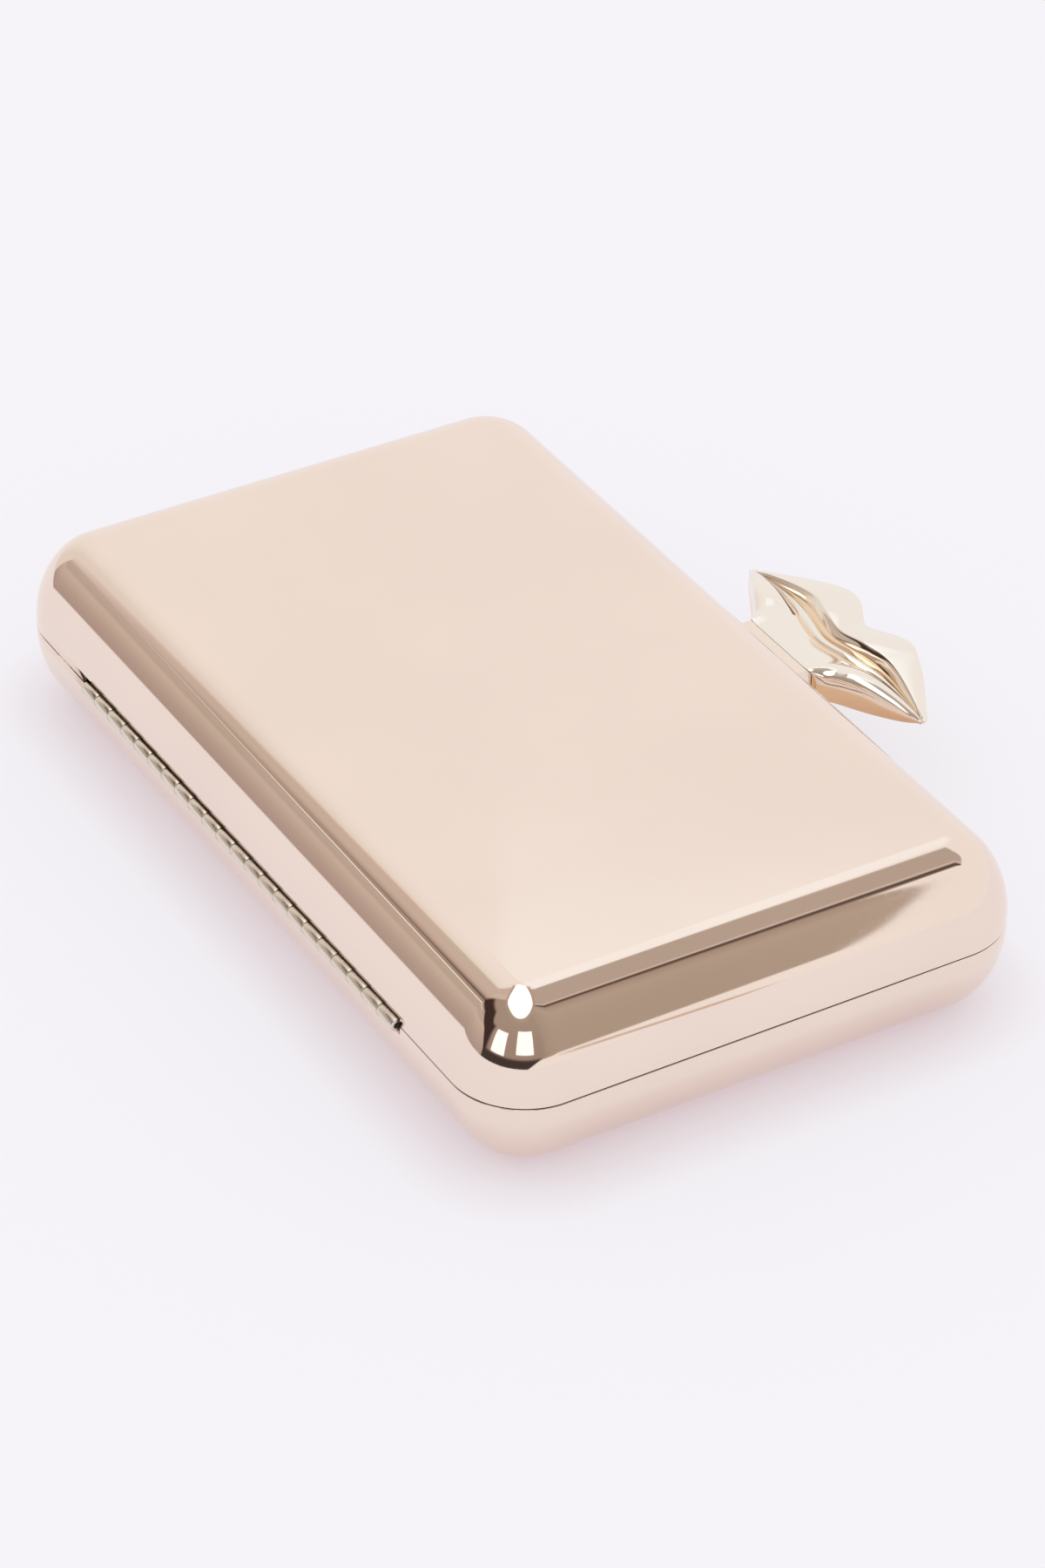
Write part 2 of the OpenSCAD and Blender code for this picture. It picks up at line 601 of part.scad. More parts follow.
lips_corner_y = lips_h * ridge_shares[7][1];

seat_angle = asin(seat_share);
seat_stations = 3;
side_stations = 13;
half_angles = concat([for (i = [1:seat_stations]) seat_angle * i / seat_stations],
    [for (i = [1:side_stations - 1]) mix(seat_angle, 90, i / side_stations)]);
side_n = len(half_angles);
station_angles = concat([for (i = [1:side_n]) -half_angles[side_n - i]], [0], half_angles);
lips_points = [for (a = station_angles) let(ring = lips_ring(abs(sin(a))))
    [for (p = ring) [lips_w / 2 * sin(a), p[0], p[1]]]];
ring_n = len(lips_points[0]);

module lips_casting() color("#E4D3C4") translate([0, 0, seam_z]) difference() {
    translate([0, bar_y, lips_rise]) polyhedron(
        points = concat([for (ring = lips_points, p = ring) p],
            [[-lips_w / 2, lips_corner_y, 0], [lips_w / 2, lips_corner_y, 0]]),
        faces = concat(
            [for (i = [0:len(lips_points) - 2], k = [0:ring_n - 1], half = [0, 1])
                let(a = i * ring_n + k, b = i * ring_n + (k + 1) % ring_n)
                half == 0 ? [a, b, b + ring_n] : [a, b + ring_n, a + ring_n]],
            [for (k = [0:ring_n - 1]) [(k + 1) % ring_n, k, len(lips_points) * ring_n]],
            [for (k = [0:ring_n - 1]) let(last = (len(lips_points) - 1) * ring_n)
                [last + k, last + (k + 1) % ring_n, len(lips_points) * ring_n + 1]]));
    translate([-clasp_w / 2, bar_y - overrun, lips_rise - lips_full])
        cube([clasp_w, bar_t + overrun, bar_top - lips_rise + lips_full]);
    for (x = [-1, 1]) translate([x * screw_x, seat_y - overrun, screw_z])
        y_bar(screw_r + fit_gap, screw_l - bar_t + overrun + fit_gap);
}

back_shell();
back_rim();
back_backing_card();
back_lining_tray();
back_floor_pad();
front_shell();
front_rim();
front_backing_card();
front_lining_tray();
front_floor_pad();
pocket_panel();
pocket_binding();
hinge_leaf_back();
hinge_leaf_front();
hinge_pin();
clasp_bracket();
clasp_bracket_rivets();
clasp_pivot_pin();
clasp_spring();
clasp_lever();
clasp_hook();
hook_rivets();
lips_casting();
lips_screws();
keeper_block();
keeper_rivets();
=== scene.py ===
import bpy, bmesh, json, math
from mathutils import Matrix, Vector


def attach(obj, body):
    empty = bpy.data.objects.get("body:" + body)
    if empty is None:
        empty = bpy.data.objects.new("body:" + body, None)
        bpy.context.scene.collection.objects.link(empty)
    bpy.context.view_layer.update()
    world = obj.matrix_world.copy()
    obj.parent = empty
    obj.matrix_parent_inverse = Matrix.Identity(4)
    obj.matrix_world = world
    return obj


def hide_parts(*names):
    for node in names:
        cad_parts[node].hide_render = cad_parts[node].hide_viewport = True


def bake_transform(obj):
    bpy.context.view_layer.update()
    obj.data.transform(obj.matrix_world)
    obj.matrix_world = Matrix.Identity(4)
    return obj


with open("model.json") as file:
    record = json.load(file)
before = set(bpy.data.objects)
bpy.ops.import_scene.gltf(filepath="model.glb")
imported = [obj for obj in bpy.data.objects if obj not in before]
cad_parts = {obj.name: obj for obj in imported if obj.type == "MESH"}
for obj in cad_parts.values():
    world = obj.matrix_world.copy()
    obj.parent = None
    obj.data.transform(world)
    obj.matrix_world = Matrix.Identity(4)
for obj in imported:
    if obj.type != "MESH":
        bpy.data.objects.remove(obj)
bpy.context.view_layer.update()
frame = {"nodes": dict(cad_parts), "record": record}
nodes = frame["nodes"]
MM = 0.001
TINY = 1e-6

# Sizes in millimetres, the same as the CAD model's
BODY_L, BODY_W, HALF_H, SEAM_GAP = 175.0, 105.5, 16.4, 0.2
CORNER_R, EDGE_REACH, FACE_R, BAND_H, WALL_T = 13.5, 12.0, 10.5, 1.1, 0.9
SEAM_Z = HALF_H + SEAM_GAP / 2
EDGE_Z = SEAM_GAP / 2
FACE_Z = EDGE_Z + HALF_H
CX, CY = BODY_L / 2 - CORNER_R, BODY_W / 2 - CORNER_R
BAND_Z = EDGE_Z + BAND_H
RISE = HALF_H - BAND_H
WALL_R = (EDGE_REACH**2 + (RISE - FACE_R)**2 - FACE_R**2) / (2 * (EDGE_REACH - FACE_R))
MEET = math.atan((RISE - FACE_R) / (WALL_R - EDGE_REACH))
FACE_X = CORNER_R - EDGE_REACH
FACE_ARC_Z = FACE_Z - FACE_R
HINGE_L, KNUCKLES, KNUCKLE_R, HINGE_PROUD = 113.0, 22, 1.2, 0.25
HINGE_Y = -BODY_W / 2 - HINGE_PROUD
SLOT_CLEAR = 0.5
KNUCKLE_GAP, CHAMFER, PIN_HOLE_R, LEAF_T, LEAF_H, WEB_IN = 0.12, 0.24, 0.6, 0.5, 8.0, 0.3
SLOT_H = KNUCKLE_R + SLOT_CLEAR
TRAY_INSET, TRAY_T, TRAY_DROP = 1.7, 1.0, 1.6
PAD_T, PAD_CLEAR, PAD_R = 3.0, 0.5, 7.0
FLOOR_Z = FACE_Z - TRAY_INSET - TRAY_T
FLOOR_L, FLOOR_W = 2 * (CX + FACE_X - PAD_CLEAR), 2 * (CY + FACE_X - PAD_CLEAR)
POCKET_L, POCKET_H, POCKET_T, BINDING_W, RIBBON_T = 118.0, 52.0, 0.8, 6.0, 0.35
POCKET_Y = -CY - FACE_X + POCKET_H / 2 + PAD_CLEAR
LIPS_W, LIPS_H, LIPS_F, LIPS_RISE = 56.8, 21.4, 4.0, 1.1
KEEPER_OUT, CLASP_GAP, BAR_T, BAR_TOP = 5.15, 0.1, 2.0, 3.8
LIPS_Y = BODY_W / 2 + KEEPER_OUT + CLASP_GAP

# Camera: fitted to the outline of the box in the photograph
CAM_AZ, CAM_EL, CAM_ROLL, CAM_DIST, CAM_F = 59.486, 35.945, 0.458, 0.933, 6064.0
FRAME_W, FRAME_H = 1200, 1800
CENTRE_X, CENTRE_Y = 577.1, 960.4


def add_camera():
    az, el, roll = (math.radians(v) for v in (CAM_AZ, CAM_EL, CAM_ROLL))
    back = Vector((math.sin(az) * math.cos(el), -math.cos(az) * math.cos(el), math.sin(el)))
    right = Vector((math.cos(az), math.sin(az), 0))
    up = back.cross(right)
    right, up = (math.cos(roll) * right + math.sin(roll) * up,
                 math.cos(roll) * up - math.sin(roll) * right)
    data = bpy.data.cameras.new("camera")
    data.sensor_width = 36
    data.lens = CAM_F / FRAME_H * data.sensor_width
    data.shift_x = (FRAME_W / 2 - CENTRE_X) / FRAME_H
    data.shift_y = (CENTRE_Y - FRAME_H / 2) / FRAME_H
    data.clip_start, data.clip_end = 0.01, 50
    cam = bpy.data.objects.new("camera", data)
    for i, axis in enumerate((right, up, back)):
        for k in range(3):
            cam.matrix_world[k][i] = axis[k]
    cam.matrix_world.translation = back * CAM_DIST
    bpy.context.scene.collection.objects.link(cam)
    bpy.context.scene.camera = cam


class Graph:
    """A small helper for shader nodes: each call makes one node or a few and returns the output."""

    def __init__(self, tree):
        self.tree = tree
        tree.nodes.clear()

    def put(self, kind, out=0, inputs=None):
        node = self.tree.nodes.new(kind)
        for k, v in (inputs or {}).items():
            self.feed(node.inputs[k], v)
        return node.outputs[out] if len(node.outputs) else node

    def feed(self, socket, value):
        """Links a socket to another one, or sets its value."""
        if isinstance(value, bpy.types.NodeSocket):
            self.tree.links.new(value, socket)
        elif isinstance(value, tuple) and len(value) == 3 and socket.type == "RGBA":
            socket.default_value = (*value, 1)
        else:
            socket.default_value = value

    def math(self, op, a, b=0.0, c=0.0):
        node = self.tree.nodes.new("ShaderNodeMath")
        node.operation = op
        for i, v in enumerate((a, b, c)):
            self.feed(node.inputs[i], v)
        return node.outputs[0]

    def ramp(self, v, lo, hi, a=0.0, b=1.0, smooth=True):
        """From a at lo to b at hi, and level beyond them."""
        node = self.tree.nodes.new("ShaderNodeMapRange")
        node.interpolation_type = "SMOOTHSTEP" if smooth else "LINEAR"
        for i, x in enumerate((v, lo, hi, a, b)):
            self.feed(node.inputs[i], x)
        return node.outputs[0]

    def step(self, v, at, soft):
        """0 below at and 1 above it, with a soft change. The place at may be a socket."""
        if isinstance(at, bpy.types.NodeSocket):
            v, at = self.math("SUBTRACT", v, at), 0
        return self.ramp(v, at - soft, at + soft)

    def inside(self, v, lo, hi, soft):
        """1 between lo and hi, 0 outside, with soft changes."""
        return self.math("MULTIPLY", self.step(v, lo, soft),
                         self.math("SUBTRACT", 1.0, self.step(v, hi, soft)))

    def bands(self, v, stops):
        """Colours at given values of v, blended in between."""
        node = self.tree.nodes.new("ShaderNodeValToRGB")
        lo, hi = stops[0][0], stops[-1][0]
        self.feed(node.inputs[0], self.ramp(v, lo, hi, smooth=False))
        marks = node.color_ramp.elements
        while len(marks) < len(stops):
            marks.new(0.5)
        for mark, (at, colour) in zip(marks, stops):
            mark.position = (at - lo) / (hi - lo)
            mark.color = (*colour, 1)
        return node.outputs[0]

    def mix(self, t, a, b):
        node = self.tree.nodes.new("ShaderNodeMix")
        node.data_type = "RGBA"
        self.feed(node.inputs[0], t)
        self.feed(node.inputs[6], a)
        self.feed(node.inputs[7], b)
        return node.outputs[2]

    def noise(self, coords, scale, detail):
        return self.put("ShaderNodeTexNoise", inputs={
            "Vector": coords, "Scale": scale, "Detail": detail, "Roughness": 0.5})


# The background as the camera sees it, the white sweep as the metal sees it, and the plain light
BACKDROP = (0.922, 0.905, 0.947)
SWEEP = (0.955, 0.935, 0.94)
PLAIN = (1.0, 1.0, 1.0)
# Share of the floor paper's brightness that shadows don't reach
FLOOR_GLOW = 0.7
# Painted shadow on the paper where the box stands close over it, tinted rose as a painted reflection
# of the box
PAINTED_ROSE_SHADOW = (0.72, 0.57, 0.60)
# How far from the box the painted shadow reaches, in metres
PAINTED_SHADOW_REACH = 0.013
# The round lamp's outline: 2 is an ellipse, and more is squarer
LAMP_POWER = 2.25


def add_world():
    """Plain white light for the room. Polished metal also sees the studio round it: a white sweep
    behind the box, a dim brown room on the camera's side, two windows and a round lamp above.
    Places in it are degrees round from the camera and degrees up."""
    world = bpy.data.worlds.new("studio")
    bpy.context.scene.world = world
    world.use_nodes = True
    g = Graph(world.node_tree)
    xyz = g.put("ShaderNodeSeparateXYZ", inputs={0: g.put("ShaderNodeTexCoord")})
    x, y, z = (xyz.node.outputs[i] for i in range(3))
    turn = math.radians(CAM_AZ - 90)
    px = g.math("ADD", g.math("MULTIPLY", x, math.cos(turn)), g.math("MULTIPLY", y, math.sin(turn)))
    py = g.math("SUBTRACT", g.math("MULTIPLY", y, math.cos(turn)),
                g.math("MULTIPLY", x, math.sin(turn)))
    deg = 180 / math.pi
    az = g.math("MULTIPLY", g.math("ARCTAN2", py, px), deg)
    el = g.math("MULTIPLY", g.math("ARCSINE", z), deg)
    both = lambda a, b: g.math("MULTIPLY", a, b)
    either = lambda a, b: g.math("MAXIMUM", a, b)
    less = lambda v, at, soft: g.math("SUBTRACT", 1.0, g.step(v, at, soft))

    # The brown room, lighter on the right, with the dark edge of the sweep's stand
    col = g.mix(g.ramp(el, 0, 60), (0.36, 0.29, 0.245), (0.41, 0.335, 0.285))
    right = g.bands(az, [
        (28, (0.42, 0.345, 0.285)), (70, (0.49, 0.415, 0.355)), (85, (0.42, 0.33, 0.28)),
        (88, (0.3, 0.235, 0.2)), (90, (0.12, 0.085, 0.07)), (95, (0.12, 0.085, 0.07)),
        (98, (0.58, 0.5, 0.46)), (101, (0.7, 0.62, 0.57)), (104, (0.51, 0.435, 0.385))])
    col = g.mix(g.step(az, 30, 6), col, right)
    # The card on the left, with a dark gap over it
    gap_top = g.ramp(az, -60, -85, 37, 52)
    gap = both(g.inside(az, -122, -57, 3), less(el, gap_top, 3))
    col = g.mix(gap, col, (0.055, 0.032, 0.028))
    card = g.bands(el, [(0, (0.45, 0.36, 0.33)), (22, (0.62, 0.53, 0.47)), (26, (0.53, 0.45, 0.39)),
                        (30, (0.55, 0.48, 0.43)), (34, (0.47, 0.375, 0.33)), (38, (0.52, 0.42, 0.36)),
                        (42, (0.61, 0.51, 0.45)), (50, (0.67, 0.58, 0.51))])
    card_top = g.math("MULTIPLY", g.math("SQRT", g.ramp(az, -61, -95, 0, 1, smooth=False)), 36)
    paler = g.math("MULTIPLY_ADD", g.math("MAXIMUM", g.math("SUBTRACT", el, 33.0), 0.0), -0.6, -122.0)
    card = g.mix(both(less(az, paler, 3), g.step(el, 31, 2)), card, (0.63, 0.535, 0.48))
    # A lit edge across the card and its shadow, fading to both sides
    along = both(g.ramp(az, -124, -115), g.ramp(az, -104, -96, 1, 0))
    card = g.mix(both(along, g.inside(el, 33.3, 34.5, 0.3)), card, (0.36, 0.28, 0.24))
    card = g.mix(both(along, g.inside(el, 32.2, 33.1, 0.15)), card, (1.15, 1.12, 1.08))
    on_card = both(less(az, -62, 1), either(less(el, card_top, 1.5), less(az, -120, 4)))
    col = g.mix(on_card, col, card)
    # Dark things under the windows
    col = g.mix(both(g.inside(az, -60, 24, 3), less(el, 9, 2)), col, (0.06, 0.045, 0.04))
    # The two windows
    for (az0, az1), (el0, el1), colour in (((-50, -29.5), (10, 35), (1.45, 1.45, 1.45)),
                                           ((-12, 14), (14, 42), (1.45, 1.43, 1.42))):
        col = g.mix(both(g.inside(az, az0, az1, 0.8), g.inside(el, el0, el1, 0.8)), col, colour)
    # The white sweep behind the box, and the floor's far edge
    bulge = g.math("POWER", g.math("DIVIDE", g.math("MAXIMUM", el, 0.0), 54.0), 4.0)
    side = g.math("MULTIPLY_ADD", el, 0.23, g.math("MULTIPLY_ADD", bulge, 15.0, 54.6))
    top = g.math("MAXIMUM", g.ramp(az, 84, 96, 56, 48.5), g.ramp(az, 110, 140, 48, 54.5))
    sweep = g.mix(both(g.step(az, 160, 6), g.step(el, 37, 2)), SWEEP, (1.04, 1.07, 1.10))
    col = g.mix(both(g.step(az, side, 0.3), less(el, top, 1.5)), col, sweep)
    left = g.bands(az, [(-180, SWEEP), (-170, (0.95, 0.93, 0.925)), (-159, (0.93, 0.906, 0.888)),
                        (-151, (0.9, 0.87, 0.84)), (-140, (0.83, 0.78, 0.74))])
    edge = g.math("MINIMUM", g.math("MULTIPLY_ADD", el, -1.49, -75.3), -126.0)
    col = g.mix(both(less(az, edge, 2), less(el, 52, 3)), col, left)
    floor_top = g.math("ADD", g.ramp(az, -70, -50, 0, -4), g.ramp(az, -8, 28, 0, 12))
    col = g.mix(less(el, floor_top, 0.8), col, SWEEP)
    # A brown streak over the floor's far edge on the right
    streak = g.math("MULTIPLY_ADD", g.math("SUBTRACT", az, 49.3), 1.3, el)
    streak = both(g.inside(streak, 4.4, 6.6, 0.6), g.inside(az, 49.3, 54.4, 0.4))
    col = g.mix(streak, col, (0.66, 0.53, 0.44))
    # The round lamp above, long towards the back, with a dim rim
    dx = g.math("DIVIDE", g.math("ADD", px, 0.145), 0.56)
    dy = g.math("DIVIDE", g.math("SUBTRACT", py, g.ramp(px, -0.7, -0.2, -0.03, -0.09, smooth=False)),
                g.ramp(px, -0.78, 0.02, 0.09, 0.255))
    full = lambda v: g.math("POWER", g.math("ABSOLUTE", v), LAMP_POWER)
    off = g.math("POWER", g.math("ADD", full(dx), full(dy)), 1 / LAMP_POWER)
    up = g.step(z, 0.0, 0.1)
    col = g.mix(both(both(less(off, 1.2, 0.12), g.step(px, -0.66, 0.04)), up), col, (0.45, 0.38, 0.33))
    col = g.mix(both(less(off, 1.0, 0.03), up), col, (1.6, 1.6, 1.6))

    rays = g.put("ShaderNodeLightPath").node.outputs
    shown = g.mix(rays["Is Glossy Ray"], PLAIN, col)
    shown = g.mix(either(rays["Is Camera Ray"], rays["Is Transmission Ray"]), shown, BACKDROP)
    back = g.put("ShaderNodeBackground", inputs={"Color": shown, "Strength": 1.0})
    g.put("ShaderNodeOutputWorld", inputs={"Surface": back})


def add_floor():
    """White paper just under the box, with a painted rose shadow where the box stands close over it.
    """
    half, z = 3.0, -0.0002
    mesh = bpy.data.meshes.new("floor")
    mesh.from_pydata([(-half, -half, z), (half, -half, z), (half, half, z), (-half, half, z)],
                     [], [(0, 1, 2, 3)])
    floor = bpy.data.objects.new("floor", mesh)
    bpy.context.scene.collection.objects.link(floor)
    mat = bpy.data.materials.new("floor_paper")
    mat.use_nodes = True
    g = Graph(mat.node_tree)
    paper = g.put("ShaderNodeBsdfDiffuse", inputs={"Color": BACKDROP})
    # Painted shadow: ambient occlusion turns the paper's glow rose and darker close to the box
    painted_shadow_mask = g.put("ShaderNodeAmbientOcclusion", out=1, inputs={"Distance": PAINTED_SHADOW_REACH})
    glow = g.put("ShaderNodeEmission", inputs={"Color": g.mix(painted_shadow_mask, PAINTED_ROSE_SHADOW, BACKDROP)})
    g.put("ShaderNodeOutputMaterial", inputs={"Surface": g.put("ShaderNodeMixShader", inputs={
        0: FLOOR_GLOW, 1: paper, 2: glow})})
    mesh.materials.append(mat)


def metal(name, colour, rough, grain=0.0, wave=0.00002, tint=0.03):
    """Polished metal: a slight change of colour and gloss across it, and long soft waves. With
    grain it also has fine brushed lines along X."""
    mat = bpy.data.materials.new(name)
    mat.use_nodes = True
    g = Graph(mat.node_tree)
    at = g.put("ShaderNodeTexCoord", out=3)
    cloud = g.noise(at, 22, 3)
    fine = g.noise(at, 900, 2)
    base = g.mix(g.ramp(cloud, 0.3, 0.7), tuple(c * (1 - tint) for c in colour), colour)
    gloss = g.math("ADD", g.ramp(cloud, 0.3, 0.7, rough * 0.8, rough * 1.3),
                   g.ramp(fine, 0.45, 0.75, 0.0, rough * 0.5 + grain))
    bump = g.put("ShaderNodeBump", inputs={
        "Strength": 1.0, "Distance": wave, "Height": g.noise(at, 45, 1)})
    if grain:
        lines = g.put("ShaderNodeMapping", inputs={"Vector": at, "Scale": (60, 2500, 2500)})
        bump = g.put("ShaderNodeBump", inputs={
            "Strength": 1.0, "Distance": grain * 0.0001, "Height": g.noise(lines, 1, 3),
            "Normal": bump})
    shade = g.put("ShaderNodeBsdfPrincipled", inputs={
        "Base Color": base, "Metallic": 1.0, "Roughness": gloss, "Normal": bump})
    g.put("ShaderNodeOutputMaterial", inputs={"Surface": shade})
    return mat


def satin(name, colour, deep, weave=9000.0, waves=0.00006):
    """Satin: fine floats along X, a soft sheen, and slow changes of shade and height."""
    mat = bpy.data.materials.new(name)
    mat.use_nodes = True
    g = Graph(mat.node_tree)
    at = g.put("ShaderNodeTexCoord", out=3)
    threads = g.put("ShaderNodeMapping", inputs={"Vector": at, "Scale": (700, weave, weave)})
    float_lines = g.noise(threads, 1, 2)
    cloud = g.noise(at, 40, 2)
    base = g.mix(g.ramp(float_lines, 0.35, 0.7), deep, colour)
    base = g.mix(g.ramp(cloud, 0.35, 0.75, 0.0, 0.35), base, deep)
    bump = g.put("ShaderNodeBump", inputs={
        "Strength": 0.6, "Distance": 0.00003, "Height": float_lines})
    bump = g.put("ShaderNodeBump", inputs={
        "Strength": 1.0, "Distance": waves, "Height": cloud, "Normal": bump})
    shade = g.put("ShaderNodeBsdfPrincipled", inputs={
        "Base Color": base, "Roughness": g.ramp(float_lines, 0.3, 0.7, 0.3, 0.42),
        "Sheen Weight": 0.25, "Sheen Roughness": 0.35, "Specular IOR Level": 0.5, "Normal": bump})
    g.put("ShaderNodeOutputMaterial", inputs={"Surface": shade})
    return mat


ROSE = (0.905, 0.765, 0.665)
MATS = {
    "shell_metal": metal("rose_gold_mirror", ROSE, 0.035),
    "rim_metal": metal("rose_gold_satin", (0.88, 0.74, 0.63), 0.18, grain=0.02),
    "clasp_metal": metal("pale_gold_polish", (0.90, 0.78, 0.66), 0.06),
    "lips_metal": metal("pale_gold_casting", (0.91, 0.84, 0.75), 0.06, wave=0.00003),
    "hinge_metal": metal("nickel_gold", (0.80, 0.73, 0.63), 0.24, grain=0.02),
    "steel": metal("spring_steel", (0.60, 0.59, 0.57), 0.25, grain=0.08),
    "card": satin("lining_card", (0.42, 0.33, 0.24), (0.35, 0.27, 0.19), weave=1500),
    "lining": satin("lining_satin", (0.50, 0.385, 0.315), (0.31, 0.225, 0.18)),
    "lining_pad": satin("lining_pad_satin", (0.53, 0.41, 0.335), (0.34, 0.25, 0.2)),
    "binding": satin("ribbon", (0.25, 0.175, 0.14), (0.15, 0.10, 0.08), weave=3000),
}

# The lips' grooves and underside: a darker gold that is painted shade and painted reflection of the
# gold in itself
GOLD_PAINTED_SHADE = metal("gold_painted_groove_shade", (0.86, 0.655, 0.45), 0.1)
# The hinge's plates lie unpolished in the shade behind the slot, and the pin deep in its tube: their
# blackish colour is painted shade
LEAF_PAINTED_SHADE = metal("hinge_painted_shade", (0.17, 0.13, 0.11), 0.55, grain=0.1)


class Build:
    """Faces with a normal for each corner, in millimetres."""

    def __init__(self):
        self.points, self.faces, self.normals = [], [], []

    def point(self, p):
        self.points.append(tuple(p))
        return len(self.points) - 1

    def face(self, ids, normals):
        self.faces.append(tuple(ids))
        self.normals.append([tuple(n) for n in normals])

    def make(self, name, body, slot, node, flip):
        """The piece in place of a CAD node. With flip its faces are turned over."""
        faces, normals = self.faces, self.normals
        if flip:
            faces = [f[::-1] for f in faces]
            normals = [n[::-1] for n in normals]
        mesh = bpy.data.meshes.new(name)
        mesh.from_pydata([[c * MM for c in p] for p in self.points], [], faces)
        mesh.polygons.foreach_set("use_smooth", [True] * len(faces))
        mesh.normals_split_custom_set([n for face in normals for n in face])
        mesh.materials.append(MATS[slot])
        obj = bpy.data.objects.new(name, mesh)
        bpy.context.scene.collection.objects.link(obj)
        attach(obj, body)
        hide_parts(node)


def rim_path(cuts, arc=28):
    """The way round a half, from the left end of the hinge side: corner centre and direction. The
    hinge side also has a stop at each cut."""
    way = [(x, -CY, 0, -1) for x in (-CX, *cuts)]
    corner = lambda cx, cy, a0: [(cx, cy, math.cos(math.radians(a0 + 90 * i / arc)),
                                  math.sin(math.radians(a0 + 90 * i / arc))) for i in range(arc)]
    way += corner(CX, -CY, -90)
    way += corner(CX, CY, 0)
    way += corner(-CX, CY, 90)
    way += corner(-CX, -CY, 180)
    return way


def arc_rows(inset, extra_z, face_n=30, wall_n=16):
    """Section of a half as rows (out, z, normal out, normal up), from the face down to the band,
    drawn in by inset. One more row lies at height extra_z."""
    rows = []
    for i in range(face_n + 1):
        t = math.pi / 2 + (MEET - math.pi / 2) * i / face_n
        rows.append((FACE_X + (FACE_R - inset) * math.cos(t),
                     FACE_ARC_Z + (FACE_R - inset) * math.sin(t), math.cos(t), math.sin(t)))
    ts = [MEET * (1 - i / wall_n) for i in range(1, wall_n + 1)]
    ts.append(math.asin((extra_z - BAND_Z) / (WALL_R - inset)))
    for t in sorted(ts, reverse=True):
        rows.append((CORNER_R - WALL_R + (WALL_R - inset) * math.cos(t),
                     BAND_Z + (WALL_R - inset) * math.sin(t), math.cos(t), math.sin(t)))
    return rows


def pressed_half(name, body, up, node, slot_l=HINGE_L / 2 + SLOT_CLEAR, roll=0.16, roll_n=5):
    """One pressed half: the exact two-arc section swept round the path, with a rolled seam edge and
    a slot for the hinge from -slot_l to slot_l."""
    b = Build()
    outer = arc_rows(0, SLOT_H)
    inner = arc_rows(WALL_T, SLOT_H, face_n=14, wall_n=8)
    quarter = [math.pi / 2 * i / roll_n for i in range(roll_n + 1)]
    edge = [(CORNER_R - roll + roll * math.cos(a), EDGE_Z + roll - roll * math.sin(a),
             math.cos(a), -math.sin(a)) for a in quarter]
    edge += [(CORNER_R - WALL_T + roll - roll * math.sin(a), EDGE_Z + roll - roll * math.cos(a),
              -math.sin(a), -math.cos(a)) for a in quarter]
    rows = outer + edge + [(o, z, -nh, -nv) for o, z, nh, nv in reversed(inner)]
    # The rows at the slot's height, outside and inside
    first = len(outer) - 1
    while rows[first][1] < SLOT_H - TINY:
        first -= 1
    last = len(outer) + len(edge)
    while rows[last][1] < SLOT_H - TINY:
        last += 1
    way = rim_path((-slot_l, slot_l))
    sign = 1 if up else -1
    place = lambda x, y, z: (x, y, SEAM_Z + sign * z)
    ids, norms = [], []
    for cx, cy, dx, dy in way:
        ids.append([b.point(place(cx + o * dx, cy + o * dy, z)) for o, z, _, _ in rows])
        norms.append([(nh * dx, nh * dy, sign * nv) for _, _, nh, nv in rows])
    n = len(way)
    in_slot = lambda i: all(abs(way[k][0]) <= slot_l + TINY and way[k][3] == -1
                            for k in (i, (i + 1) % n))
    for i in range(n):
        j = (i + 1) % n
        for k in range(len(rows) - 1):
            if in_slot(i) and first <= k < last:
                continue
            b.face((ids[i][k], ids[i][k + 1], ids[j][k + 1], ids[j][k]),
                   (norms[i][k], norms[i][k + 1], norms[j][k + 1], norms[j][k]))
        if in_slot(i):
            b.face((ids[i][first], ids[i][last], ids[j][last], ids[j][first]), [(0, 0, -sign)] * 4)
            for side, at in ((1, i), (-1, j)):
                ring = ids[at][first:last + 1]
                b.face(ring[::-1] if side == 1 else ring, [(side, 0, 0)] * len(ring))
    b.face([r[0] for r in ids], [(0, 0, sign)] * n)
    b.face([r[-1] for r in ids][::-1], [(0, 0, -sign)] * n)
    b.make(name, body, "shell_metal", node, flip=not up)


# Lines along the lips, the same as the CAD model's: share of the half width, of the height and of
# the fullness
RIM = [(0.326, 0, 0.775), (0.373, 0.014, 0.42), (0.408, 0.044, 0.41), (0.5, 0.125, 0.44),
       (0.634, 0.22, 0.47), (0.775, 0.322, 0.3), (0.915, 0.43, 0.175), (1, 0.523, 0)]
EDGE = [(0.326, -0.047, 1.05), (0.408, 0.049, 0.7), (0.5, 0.133, 0.69), (0.634, 0.228, 0.67),
        (0.775, 0.329, 0.45), (0.915, 0.435, 0.25), (1, 0.523, 0)]
RIDGE = [(0, 0.314, 0.54), (0.21, 0.355, 0.56), (0.32, 0.402, 0.5), (0.42, 0.457, 0.4),
         (0.56, 0.5, 0.3), (0.8, 0.527, 0.22), (0.93, 0.529, 0.16), (1, 0.523, 0)]
UPPER = [(0, 0.5, 0.62), (0.21, 0.546, 0.65), (0.32, 0.589, 0.55), (0.42, 0.621, 0.42),
         (0.53, 0.62, 0.35), (0.74, 0.579, 0.27), (0.93, 0.537, 0.17), (1, 0.523, 0)]
CREST = [(0, 0.568, 0.86), (0.21, 0.61, 0.94), (0.35, 0.666, 0.86), (0.45, 0.681, 0.74),
         (0.63, 0.652, 0.57), (0.84, 0.587, 0.34), (0.93, 0.549, 0.19), (1, 0.523, 0)]
